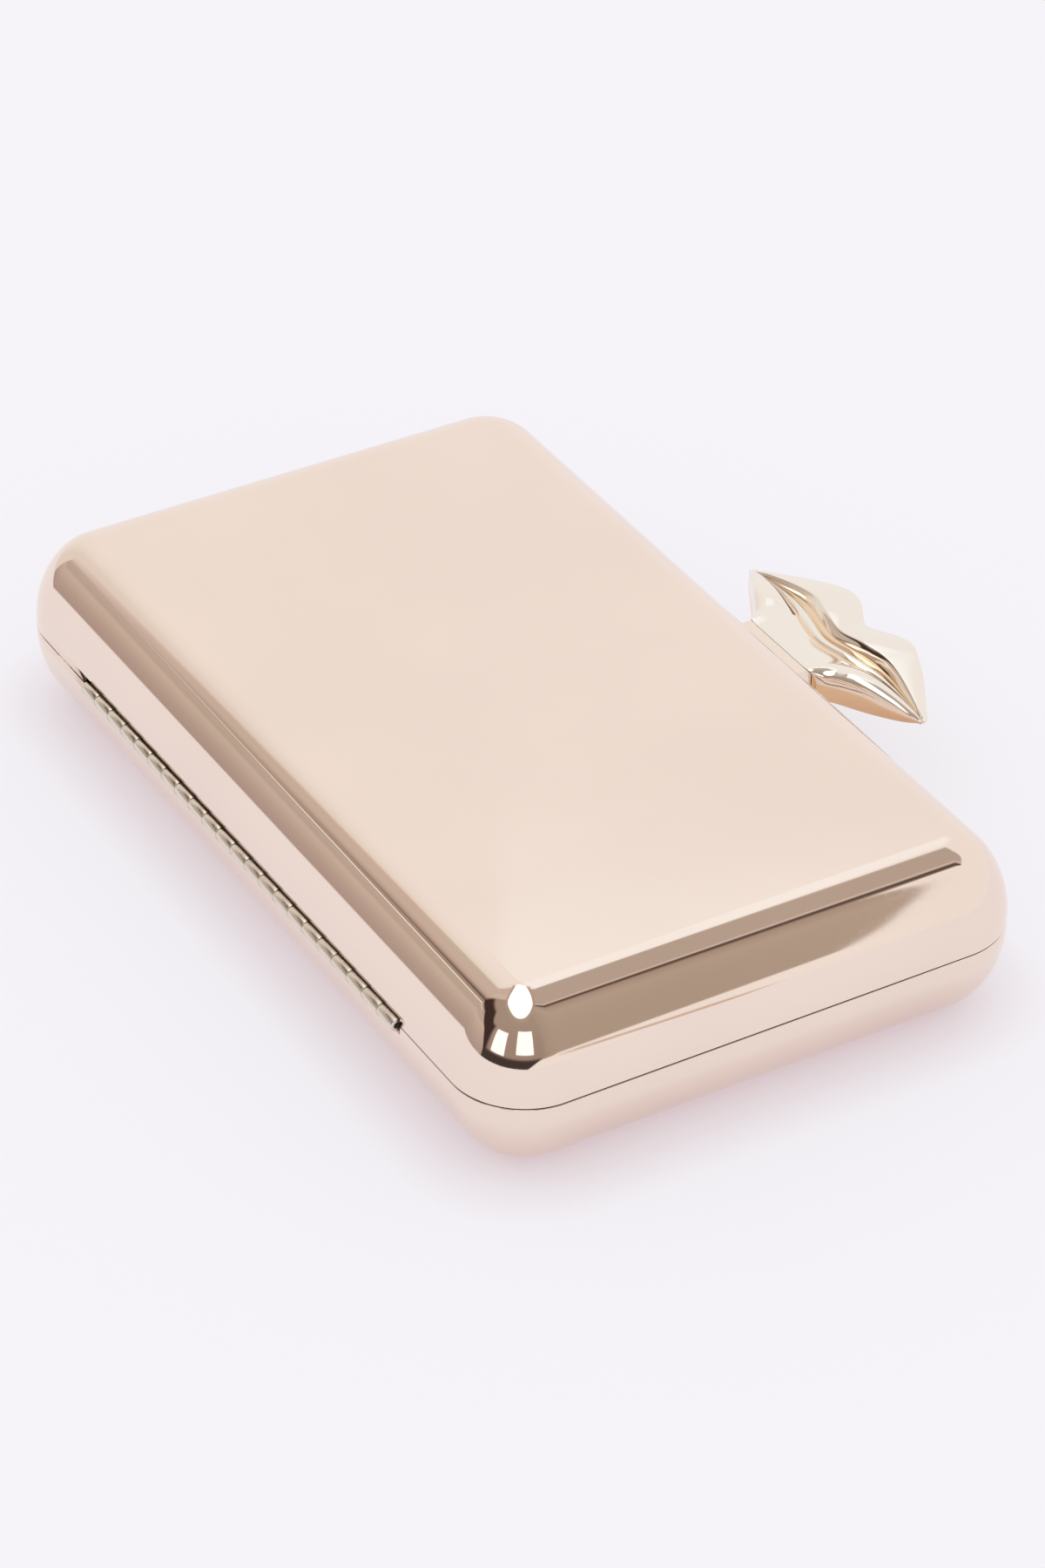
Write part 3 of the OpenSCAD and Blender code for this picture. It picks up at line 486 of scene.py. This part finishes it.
TOP = [(0, 0.832, 0.55), (0.1, 0.889, 0.57), (0.21, 0.967, 0.6), (0.32, 1, 0.62),
       (0.42, 0.963, 0.66), (0.63, 0.846, 0.44), (0.84, 0.69, 0.2), (0.95, 0.605, 0.07), (1, 0.56, 0)]
# Rise of the lower lip between its edge and the ridge: share of the half width and of the fullness
SWELL = [(0, 0.08), (0.25, 0.12), (0.326, 0.22), (0.42, 0.48), (0.52, 0.55), (0.66, 0.5),
         (0.8, 0.34), (0.92, 0.12), (1, 0)]
# Shares of the half width: where the lips leave the bar, where the lower lip's section changes
# from a dome to a roll, and where the corner's round cap starts
SEAT, FLAT, ROUND, CAP = 0.326, 0.22, 0.42, 0.975
# Step from the last section on the bar to the first free one, as a share of the half width
SEAT_STEP = 0.002
# Shares of the fullness: depth of the back and of the grooves, and the power by which both thin
# out towards the corners
BACK, GROOVE_SHARE, BACK_POWER = 0.375, 0.06, 3.0
# The lower lip: where its dome is highest, and how its points crowd towards the edge
DOME, LOW_POWER = 0.55, 1.6
# The top edge: its reach in millimetres at most, and as shares of it how far it stands out and
# turns in
TOP_ROUND, TOP_PROUD, TOP_IN = 1.2, 0.15, 0.6


def curve(p, x):
    """A smooth curve through points (x, y), level at the first one."""
    def slope(i):
        a, b = max(i - 1, 0), min(i + 1, len(p) - 1)
        return 0 if i == 0 else (p[b][1] - p[a][1]) / (p[b][0] - p[a][0])

    i = 0
    while i < len(p) - 2 and x > p[i + 1][0]:
        i += 1
    h = p[i + 1][0] - p[i][0]
    t = (x - p[i][0]) / h
    return ((2 * t**3 - 3 * t**2 + 1) * p[i][1] + (3 * t**2 - 2 * t**3) * p[i + 1][1]
            + (t**3 - 2 * t**2 + t) * h * slope(i) + (t**3 - t**2) * h * slope(i + 1))


def mix(a, b, t):
    return a + (b - a) * t


def lips_ring(u, seated, low_n=28, band_n=20, crest_n=14, top_n=24, edge_n=6, back_n=4):
    """Section of the lips at share u of the half width: points (y, z) and, for each face, its
    part. A seated section sits on the bar with a step."""
    cap = math.sqrt(max(0, 1 - (max(0, u - CAP) / (1 - CAP))**2))
    u = min(u, CAP)
    line = lambda p: tuple(k * curve([(r[0], r[i]) for r in p], max(u, p[0][0]))
                           for i, k in ((1, LIPS_H), (2, LIPS_F)))
    (ey, ez), (fy, fz), (ry, rz), (uy, uz), (cy, cz), (ty, tz) = (
        line(p) for p in (RIM, EDGE, RIDGE, UPPER, CREST, TOP))
    thin = 1 - max(0, (u - SEAT) / (1 - SEAT))**BACK_POWER
    soft = min(1, max(0, (ROUND - u) / (ROUND - FLAT)))
    bz = -LIPS_F * BACK * thin
    rise, depth = LIPS_F * curve(SWELL, u), LIPS_F * GROOVE_SHARE * thin
    foot = [(ey, mix(bz, ez, i / 3)) for i in range(3)]
    if seated:
        foot = [(BAR_T, bz), (BAR_T, BAR_TOP - LIPS_RISE), (ey, BAR_TOP - LIPS_RISE)]
    ring, part = foot + [(ey, ez), (fy, fz)], ["under"] * 3 + ["front"]
    for i in range(1, low_n + 1):
        s = (i / low_n)**LOW_POWER
        up = math.sqrt(1 - (1 - s / DOME)**2) if s < DOME else 1 - ((s - DOME) / (1 - DOME))**2
        ring.append((mix(fy, ry, s), mix(fz, rz, s) + rise * mix(up, 4 * s * (1 - s), soft)))
        part.append("front")
    for i in range(1, band_n + 1):
        s = i / band_n
        dip = 1 - abs(math.sin(math.pi * (2.5 * s - 0.5)))
        ring.append((mix(ry, uy, s), mix(rz, uz, s) - depth * dip))
        # The two sides of the groove band take the painted shade, its middle does not
        part.append("front" if 0.2 < s <= 0.6 else "groove")
    uz = ring[-1][1]
    for i in range(1, crest_n + 1):
        s = i / crest_n
        ring.append((mix(uy, cy, s), mix(uz, cz, math.sin(math.pi / 2 * s))))
        part.append("front")
    for i in range(1, top_n + 1):
        s = i / top_n
        ring.append((mix(cy, ty, s), mix(cz, tz, s * s)))
        part.append("front")
    for i in range(1, edge_n + 1):
        a = math.pi / 2 * i / edge_n
        h = min(ty - cy, TOP_ROUND)
        ring.append((ty + TOP_PROUD * h * math.sin(2 * a) - h * (1 - math.cos(a)) * TOP_IN,
                     mix(tz, bz, math.sin(a))))
        part.append("front")
    y0, y1 = ring[-1][0], ring[0][0]
    for i in range(1, back_n + 1):
        ring.append((mix(y0, y1, i / back_n), bz))
        part.append("under")
    tip = LIPS_H * RIDGE[-1][1]
    return [(tip + (y - tip) * cap, z * cap) for y, z in ring[:-1]], part


def smooth_by_angle(obj, degrees):
    """Shades smooth, with a sharp line where two faces meet at more than this angle."""
    bm = bmesh.new()
    bm.from_mesh(obj.data)
    bmesh.ops.recalc_face_normals(bm, faces=bm.faces)
    for f in bm.faces:
        f.smooth = True
    for e in bm.edges:
        e.smooth = len(e.link_faces) == 2 and e.calc_face_angle(0) < math.radians(degrees)
    bm.to_mesh(obj.data)
    bm.free()


def plain(name, points, faces, body, slot, node, angle=35, second=None, parts=()):
    """One piece in place of a CAD node, from points in millimetres. It rides on body, if there is
    one. The faces that are true in parts take the second material."""
    mesh = bpy.data.meshes.new(name)
    mesh.from_pydata([[c * MM for c in p] for p in points], [], faces)
    mesh.materials.append(MATS[slot])
    if second:
        mesh.materials.append(second)
        mesh.polygons.foreach_set("material_index", [int(p) for p in parts])
    obj = bpy.data.objects.new(name, mesh)
    bpy.context.scene.collection.objects.link(obj)
    smooth_by_angle(obj, angle)
    if body:
        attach(obj, body)
    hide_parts(node)
    return obj


def leaf(name, body, first, up, node, around=32, plate_n=10):
    """One leaf of the piano hinge: a curved plate on the wall, and every second knuckle."""
    points, faces = [], []
    sign = 1 if up else -1
    pitch = HINGE_L / KNUCKLES
    put = lambda x, y, z: points.append((x, y, SEAM_Z + sign * z)) or len(points) - 1
    link = lambda a, b: faces.extend((a[k], a[(k + 1) % len(a)], b[(k + 1) % len(a)], b[k])
                                     for k in range(len(a)))

    def knuckle(x0, x1):
        c = CHAMFER
        section = [(x0, PIN_HOLE_R), (x0, KNUCKLE_R - c), (x0 + c / 3, KNUCKLE_R - c / 3),
                   (x0 + c, KNUCKLE_R), (x1 - c, KNUCKLE_R), (x1 - c / 3, KNUCKLE_R - c / 3),
                   (x1, KNUCKLE_R - c), (x1, PIN_HOLE_R)]
        rings = [[put(x, HINGE_Y + r * math.cos(t), r * math.sin(t))
                  for t in (2 * math.pi * k / around for k in range(around))]
                 for x, r in section]
        for a, b in zip(rings, rings[1:] + rings[:1]):
            link(a, b)

    def bar(x0, x1, section):
        ends = [[put(x, y, z) for y, z in section] for x in (x0, x1)]
        link(*ends)
        faces.extend([tuple(ends[0][::-1]), tuple(ends[1])])

    def wall(inset, z):
        rise = max(0, z - BAND_Z) / (WALL_R - inset)
        return -CY - (CORNER_R - WALL_R + (WALL_R - inset) * math.cos(math.asin(rise)))

    spans = [[-HINGE_L / 2 + (i + k) * pitch + (0.5 - k) * KNUCKLE_GAP for k in (0, 1)]
             for i in range(first, KNUCKLES, 2)]
    for x0, x1 in spans:
        knuckle(x0, x1)
    knuckle_faces = len(faces)
    # Webs from the knuckles' walls to the plate
    y0, y1 = HINGE_Y + WEB_IN, HINGE_Y + HINGE_PROUD + WALL_T + LEAF_T / 2
    z0, z1 = KNUCKLE_R - LEAF_T, KNUCKLE_R
    for x0, x1 in spans:
        bar(x0 + CHAMFER / 2, x1 - CHAMFER / 2, [(y0, z1), (y1, z1), (y1, z0), (y0, z0)])
    zs = [z0 + (LEAF_H - z0) * k / plate_n for k in range(plate_n + 1)]
    bar(-HINGE_L / 2, HINGE_L / 2, [(wall(WALL_T, z), z) for z in zs]
        + [(wall(WALL_T + LEAF_T, z), z) for z in reversed(zs)])
    if not up:
        faces = [f[::-1] for f in faces]
    # The webs and the plate take the blackish painted shade
    plain(name, points, faces, body, "hinge_metal", node, second=LEAF_PAINTED_SHADE,
          parts=[i >= knuckle_faces for i in range(len(faces))])


def lips(seat_n=12, free_n=48):
    """The lips casting: sections across it, closed at both corners, with darker gold painted as shade
    in the grooves and underneath.
    """
    faces, parts, rings = [], [], []
    seat = math.asin(SEAT)
    inner = [seat * i / seat_n for i in range(seat_n + 1)]
    outer = [seat + (math.pi / 2 - seat) * i / free_n for i in range(free_n)]
    half = [(math.sin(a), True) for a in inner]
    half += [(max(SEAT + SEAT_STEP, math.sin(a)), False) for a in outer]
    for side, (u, seated) in [(-1, h) for h in reversed(half)] + [(1, h) for h in half[1:]]:
        ring, part = lips_ring(u, seated)
        rings.append([(side * LIPS_W / 2 * u, LIPS_Y + y, SEAM_Z + LIPS_RISE + z) for y, z in ring])
    n = len(rings[0])
    # Faces in the grooves and underneath take the darker gold of painted shade
    deep = [p != "front" for p in part]
    points = [p for ring in rings for p in ring]
    tip_y = LIPS_Y + LIPS_H * TOP[-1][1]
    points += [(-LIPS_W / 2, tip_y, SEAM_Z + LIPS_RISE), (LIPS_W / 2, tip_y, SEAM_Z + LIPS_RISE)]
    for i in range(len(rings) - 1):
        for k in range(n):
            a, b = i * n + k, i * n + (k + 1) % n
            faces.append((a, b, b + n, a + n))
            parts.append(deep[k])
    end = (len(rings) - 1) * n
    faces += [((k + 1) % n, k, len(points) - 2) for k in range(n)]
    faces += [(end + k, end + (k + 1) % n, len(points) - 1) for k in range(n)]
    parts += deep * 2
    plain("lips", points, faces, "lever", "lips_metal", "lips_casting", 30, GOLD_PAINTED_SHADE, parts)


# The clasp's spring, the same wire as the CAD model's
PIVOT_Y, PIVOT_Z = 56.4, SEAM_Z - 3.9
WIRE_R, COIL_R, COIL_W, COIL_TURNS, LEG_L = 0.2, 1.2, 2.6, 5.5, 2.0
NEAR_LEG_Y, FAR_LEG_Y = 54.2, 58.25


def tube_faces(rings, n):
    """Faces of a tube with closed ends, whose points come ring after ring, n to a ring."""
    faces = [(i * n + k, i * n + (k + 1) % n, (i + 1) * n + (k + 1) % n, (i + 1) * n + k)
             for i in range(rings - 1) for k in range(n)]
    return faces + [tuple(range(n)), tuple(range((rings - 1) * n, rings * n))]


def torsion_spring(around=24, sides=12):
    """A wire up one leg, round the coil and down the other."""
    rings = round(COIL_TURNS * around)
    path = [(-COIL_W / 2, NEAR_LEG_Y, PIVOT_Z - LEG_L, math.pi)]
    for i in range(rings + 1):
        a = math.pi - 2 * math.pi * COIL_TURNS * i / rings
        path.append((COIL_W * (i / rings - 0.5), PIVOT_Y + COIL_R * math.cos(a),
                     PIVOT_Z + COIL_R * math.sin(a), a))
    path.append((COIL_W / 2, FAR_LEG_Y, PIVOT_Z - LEG_L, 0))
    points = []
    for x, y, z, a in path:
        for k in range(sides):
            b = 2 * math.pi * k / sides
            out = WIRE_R * math.cos(b)
            points.append((x + WIRE_R * math.sin(b), y + out * math.cos(a), z + out * math.sin(a)))
    obj = plain("torsion_spring", points, tube_faces(len(path), sides), None, "steel", "clasp_spring")
    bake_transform(obj)


# The lining. Heights are measured from the seam into each half.
# The gap under each cloth, and the size of its mesh
CLOTH_GAP, CELL = 0.05, 2.5
# Pleats: their depth, the power of its rise and fall between floor and rim, and the step between
# stations
PLEAT, PLEAT_POWER, PLEAT_STEP = 0.6, 0.7, 1.6
# Each wave of pleats as the number round a half, its size and its shift. The range is twice the
# sum of the sizes, so that no pleat is deeper than PLEAT.
PLEAT_WAVES, PLEAT_RANGE = ((61, 1.0, 0.0), (97, 0.7, 1.1), (38, 0.6, 2.3)), 4.6
# Pads: height of the edge and of the top over the tray's floor, reach of the round edge, and the
# cap on what the simulation adds, with its air pressure and the ease of its cloth
PAD_EDGE, PAD_TOP, PAD_ROLL, PAD_SWELL = 0.9, 2.45, 5.0, 0.5
PAD_PRESSURE, PAD_EASE = 4, 0.03
# The pocket's satin: lift at the mouth, how suddenly it ends at the sides, and two sets of soft
# folds, each with its height, its length and how it is shifted
MOUTH_LIFT, SIDE_POWER = 0.5, 10
FOLD_H, FOLD_L, FOLD_LEAN = 0.1, 5.2, 2
WAVE_H, WAVE_L, WAVE_SHIFT = 0.08, 9.1, 1
# The pocket lies on the pad
POCKET_BASE = FLOOR_Z - PAD_T


def walk(step):
    """Stations along the way round a half (corner centre, direction, distance gone), and its
    whole length."""
    way, gone = [], 0.0
    legs = [(-CX, -CY, CX, -CY), (CX, -CY, CX, CY), (CX, CY, -CX, CY), (-CX, CY, -CX, -CY)]
    for k, (x0, y0, x1, y1) in enumerate(legs):
        face = math.radians(90 * k - 90)
        n = round((abs(x1 - x0) + abs(y1 - y0)) / step)
        for i in range(n):
            way.append((mix(x0, x1, i / n), mix(y0, y1, i / n), math.cos(face), math.sin(face), gone))
            gone += (abs(x1 - x0) + abs(y1 - y0)) / n
        n = round(CORNER_R * math.pi / 2 / step)
        for i in range(n):
            a = face + math.pi / 2 * i / n
            way.append((x1, y1, math.cos(a), math.sin(a), gone))
            gone += CORNER_R * math.pi / 2 / n
    return way, gone


def lining(name, body, up, node, roll_n=7):
    """Satin glued over the card tray, eased into small pleats round the wall, with a rolled edge."""
    sign = 1 if up else -1
    lip_z = TRAY_DROP + TRAY_T / 2
    cut = lambda inset, n, m: [r for r in arc_rows(inset, lip_z, n, m) if r[1] > lip_z - TINY]
    # Rows from the floor to the rim inside the tray, round the rim, and back outside it
    inner, outer = cut(TRAY_INSET + TRAY_T, 14, 10), cut(TRAY_INSET + CLOTH_GAP, 8, 4)
    mid, half = (inner[-1][0] + outer[-1][0]) / 2, (outer[-1][0] - inner[-1][0]) / 2
    roll = [(mid - half * math.cos(a), lip_z - half * math.sin(a), 0, 0)
            for a in (math.pi * i / roll_n for i in range(1, roll_n))]
    way, length = walk(PLEAT_STEP)
    points, faces, rings = [], [], []
    for cx, cy, dx, dy, gone in way:
        turn = 2 * math.pi * gone / length
        wave = sum(size * math.sin(count * turn + start) for count, size, start in PLEAT_WAVES)
        wave = wave / PLEAT_RANGE + 0.5
        ring = []
        for i, (o, z, nh, nv) in enumerate(inner + roll + outer[::-1]):
            share = i / (len(inner) - 1)
            deep = PLEAT * wave * math.sin(math.pi * share)**PLEAT_POWER if share < 1 else 0
            o, z = o + nh * deep, z + nv * deep
            ring.append((cx + o * dx, cy + o * dy, SEAM_Z + sign * z))
        rings.append(range(len(points), len(points) + len(ring)))
        points += ring
    for a, b in zip(rings, rings[1:] + rings[:1]):
        faces += [(a[k], a[k + 1], b[k + 1], b[k]) for k in range(len(a) - 1)]
    faces += [tuple(r[0] for r in rings), tuple(r[-1] for r in rings)]
    obj = plain(name, points, faces, body, "lining", node, 60)


def edge_distance(x, y, l, w, r):
    """How far (x, y) lies inside the edge of an l by w sheet with corners of radius r."""
    dx, dy = abs(x) - l / 2 + r, abs(y) - w / 2 + r
    return r - math.hypot(max(dx, 0), max(dy, 0)) - min(max(dx, dy), 0)


def patch(l, w, r, cell):
    """A grid over a sheet with round corners: points (x, y), faces and the loop round its edge."""
    nx, ny = round(l / cell), round(w / cell)
    spots = []
    for j in range(ny + 1):
        for i in range(nx + 1):
            x, y = l * (i / nx - 0.5), w * (j / ny - 0.5)
            a, b = (abs(x) - l / 2 + r) / r, (abs(y) - w / 2 + r) / r
            if a > 0 and b > 0:
                a, b = a * math.sqrt(1 - b * b / 2), b * math.sqrt(1 - a * a / 2)
                x, y = math.copysign(l / 2 - r + a * r, x), math.copysign(w / 2 - r + b * r, y)
            spots.append((x, y))
    at = lambda i, j: j * (nx + 1) + i
    faces = [(at(i, j), at(i + 1, j), at(i + 1, j + 1), at(i, j + 1))
             for j in range(ny) for i in range(nx)]
    loop = [at(i, 0) for i in range(nx)] + [at(nx, j) for j in range(ny)]
    loop += [at(i, ny) for i in range(nx, 0, -1)] + [at(0, j) for j in range(ny, 0, -1)]
    return spots, faces, loop


def closed_patch(l, w, r, cell, top, bottom):
    """A closed sheet whose top and bottom are given by the heights over each point: its points,
    its faces, how many points are on top, and the ones round the top's edge."""
    spots, faces, loop = patch(l, w, r, cell)
    n = len(spots)
    points = [(x, y, top(x, y)) for x, y in spots] + [(x, y, bottom(x, y)) for x, y in spots]
    faces = faces + [tuple(k + n for k in f[::-1]) for f in faces]
    faces += [(a, a + n, b + n, b) for a, b in zip(loop, loop[1:] + loop[:1])]
    return points, faces, n, set(loop)


def inflate(obj, held, pressure, ease, limit, frames=20):
    """Fills a closed piece with air as cloth, its held points fixed, and keeps the shape it takes.
    No point moves further than limit."""
    before = [v.co.copy() for v in obj.data.vertices]
    group = obj.vertex_groups.new(name="held")
    group.add(held, 1.0, "REPLACE")
    cloth = obj.modifiers.new("fill", "CLOTH")
    cloth.settings.vertex_group_mass = "held"
    cloth.settings.use_pressure = True
    cloth.settings.uniform_pressure_force = pressure
    cloth.settings.shrink_min = -ease
    cloth.settings.effector_weights.gravity = 0
    cloth.point_cache.frame_end = frames
    for f in range(1, frames + 1):
        bpy.context.scene.frame_set(f)
    shape = obj.evaluated_get(bpy.context.evaluated_depsgraph_get())
    after = [v.co.copy() for v in shape.data.vertices]
    obj.modifiers.remove(cloth)
    obj.vertex_groups.remove(group)
    bpy.context.scene.frame_set(1)
    far = max((b - a).length for a, b in zip(before, after))
    for v, a, b in zip(obj.data.vertices, before, after):
        v.co = a + (b - a) * min(1, limit / far)


def floor_pad(name, body, up, node):
    """A padded panel: foam with its satin pulled round the edge, filled by a cloth simulation."""
    sign = 1 if up else -1

    def top(x, y):
        e = min(1, max(0, edge_distance(x, y, FLOOR_L, FLOOR_W, PAD_R)) / PAD_ROLL)
        return SEAM_Z + sign * (FLOOR_Z - mix(PAD_EDGE, PAD_TOP, math.sqrt(1 - (1 - e)**2)))

    points, faces, n, rim = closed_patch(FLOOR_L, FLOOR_W, PAD_R, CELL, top,
                                         lambda x, y: SEAM_Z + sign * (FLOOR_Z - CLOTH_GAP))
    obj = plain(name, points, faces, body, "lining_pad", node, 75)
    # The edge and the whole underside are sewn down
    held = [k for k in range(len(points)) if k >= n or k in rim]
    inflate(obj, held, PAD_PRESSURE, PAD_EASE, PAD_SWELL * MM)


def pocket_lift(x, y):
    """How far the pocket's satin stands off: most at its mouth, not at all at its sides."""
    v = (y - POCKET_Y) / POCKET_H + 0.5
    side = 1 - (2 * abs(x) / POCKET_L)**SIDE_POWER
    folds = FOLD_H * math.sin(x / FOLD_L + FOLD_LEAN * v) * math.sin(math.pi * v)
    folds += WAVE_H * math.sin(x / WAVE_L + WAVE_SHIFT) * v
    return max(0, side) * (MOUTH_LIFT * max(0, v)**2 + folds)


def slip_pocket():
    """The pocket's satin, sewn down on three sides, with a little fullness at its mouth."""
    height = lambda t: lambda x, y: SEAM_Z + POCKET_BASE - t - pocket_lift(x, y + POCKET_Y)
    points, faces, _, _ = closed_patch(POCKET_L, POCKET_H, PAD_R / 2, CELL,
                                       height(POCKET_T), height(CLOTH_GAP))
    points = [(x, y + POCKET_Y, z) for x, y, z in points]
    panel = plain("pocket_satin", points, faces, "front_half", "lining_pad", "pocket_panel", 50)


def pocket_ribbon(bend=8):
    """The ribbon folded over the pocket's mouth, with the same waves."""
    mouth = POCKET_Y + POCKET_H / 2
    half = POCKET_T / 2 + RIBBON_T
    fold_y = mouth - half
    # Its outside as places (y, height over its middle), and the same line drawn in for its inside
    outside = [(mouth - BINDING_W, -half), (fold_y, -half)]
    outside += [(fold_y + half * math.sin(a), -half * math.cos(a))
                for a in (math.pi * k / bend for k in range(1, bend))]
    outside += [(fold_y, half), (mouth - BINDING_W, half)]
    share = 1 - (RIBBON_T - CLOTH_GAP) / half
    inside = [(y if y <= fold_y else fold_y + (y - fold_y) * share, d * share) for y, d in outside]
    ring = outside + inside[::-1]
    mid_z = SEAM_Z + POCKET_BASE - POCKET_T / 2
    points = []
    count = round(POCKET_L / CELL)
    for i in range(count + 1):
        x = (POCKET_L - PAD_R) * (i / count - 0.5)
        points += [(x, y, mid_z + d - pocket_lift(x, min(y, mouth))) for y, d in ring]
    ribbon = plain("pocket_ribbon", points, tube_faces(count + 1, len(ring)), "front_half",
                   "binding", "pocket_binding", 50)


add_camera()
add_world()
add_floor()
pressed_half("front_shell_polished", "front_half", True, "front_shell")
pressed_half("back_shell_polished", "back_half", False, "back_shell")
leaf("hinge_knuckles_front", "front_half", 1, True, "hinge_leaf_front")
leaf("hinge_knuckles_back", "back_half", 0, False, "hinge_leaf_back")
lips()
torsion_spring()
lining("front_lining_satin", "front_half", True, "front_lining_tray")
lining("back_lining_satin", "back_half", False, "back_lining_tray")
floor_pad("front_pad", "front_half", True, "front_floor_pad")
floor_pad("back_pad", "back_half", False, "back_floor_pad")
slip_pocket()
pocket_ribbon()

# The CAD nodes that show take the material of their slot, apart from the pin, which takes the blackish
# painted shade
slots = {s["node"]: s["material_slot"] for s in frame["record"]["subparts"]}
for name, obj in nodes.items():
    obj.data.materials.clear()
    obj.data.materials.append(LEAF_PAINTED_SHADE if name == "hinge_pin" else MATS[slots[name]])

scene = bpy.context.scene
scene.view_settings.view_transform = "Standard"
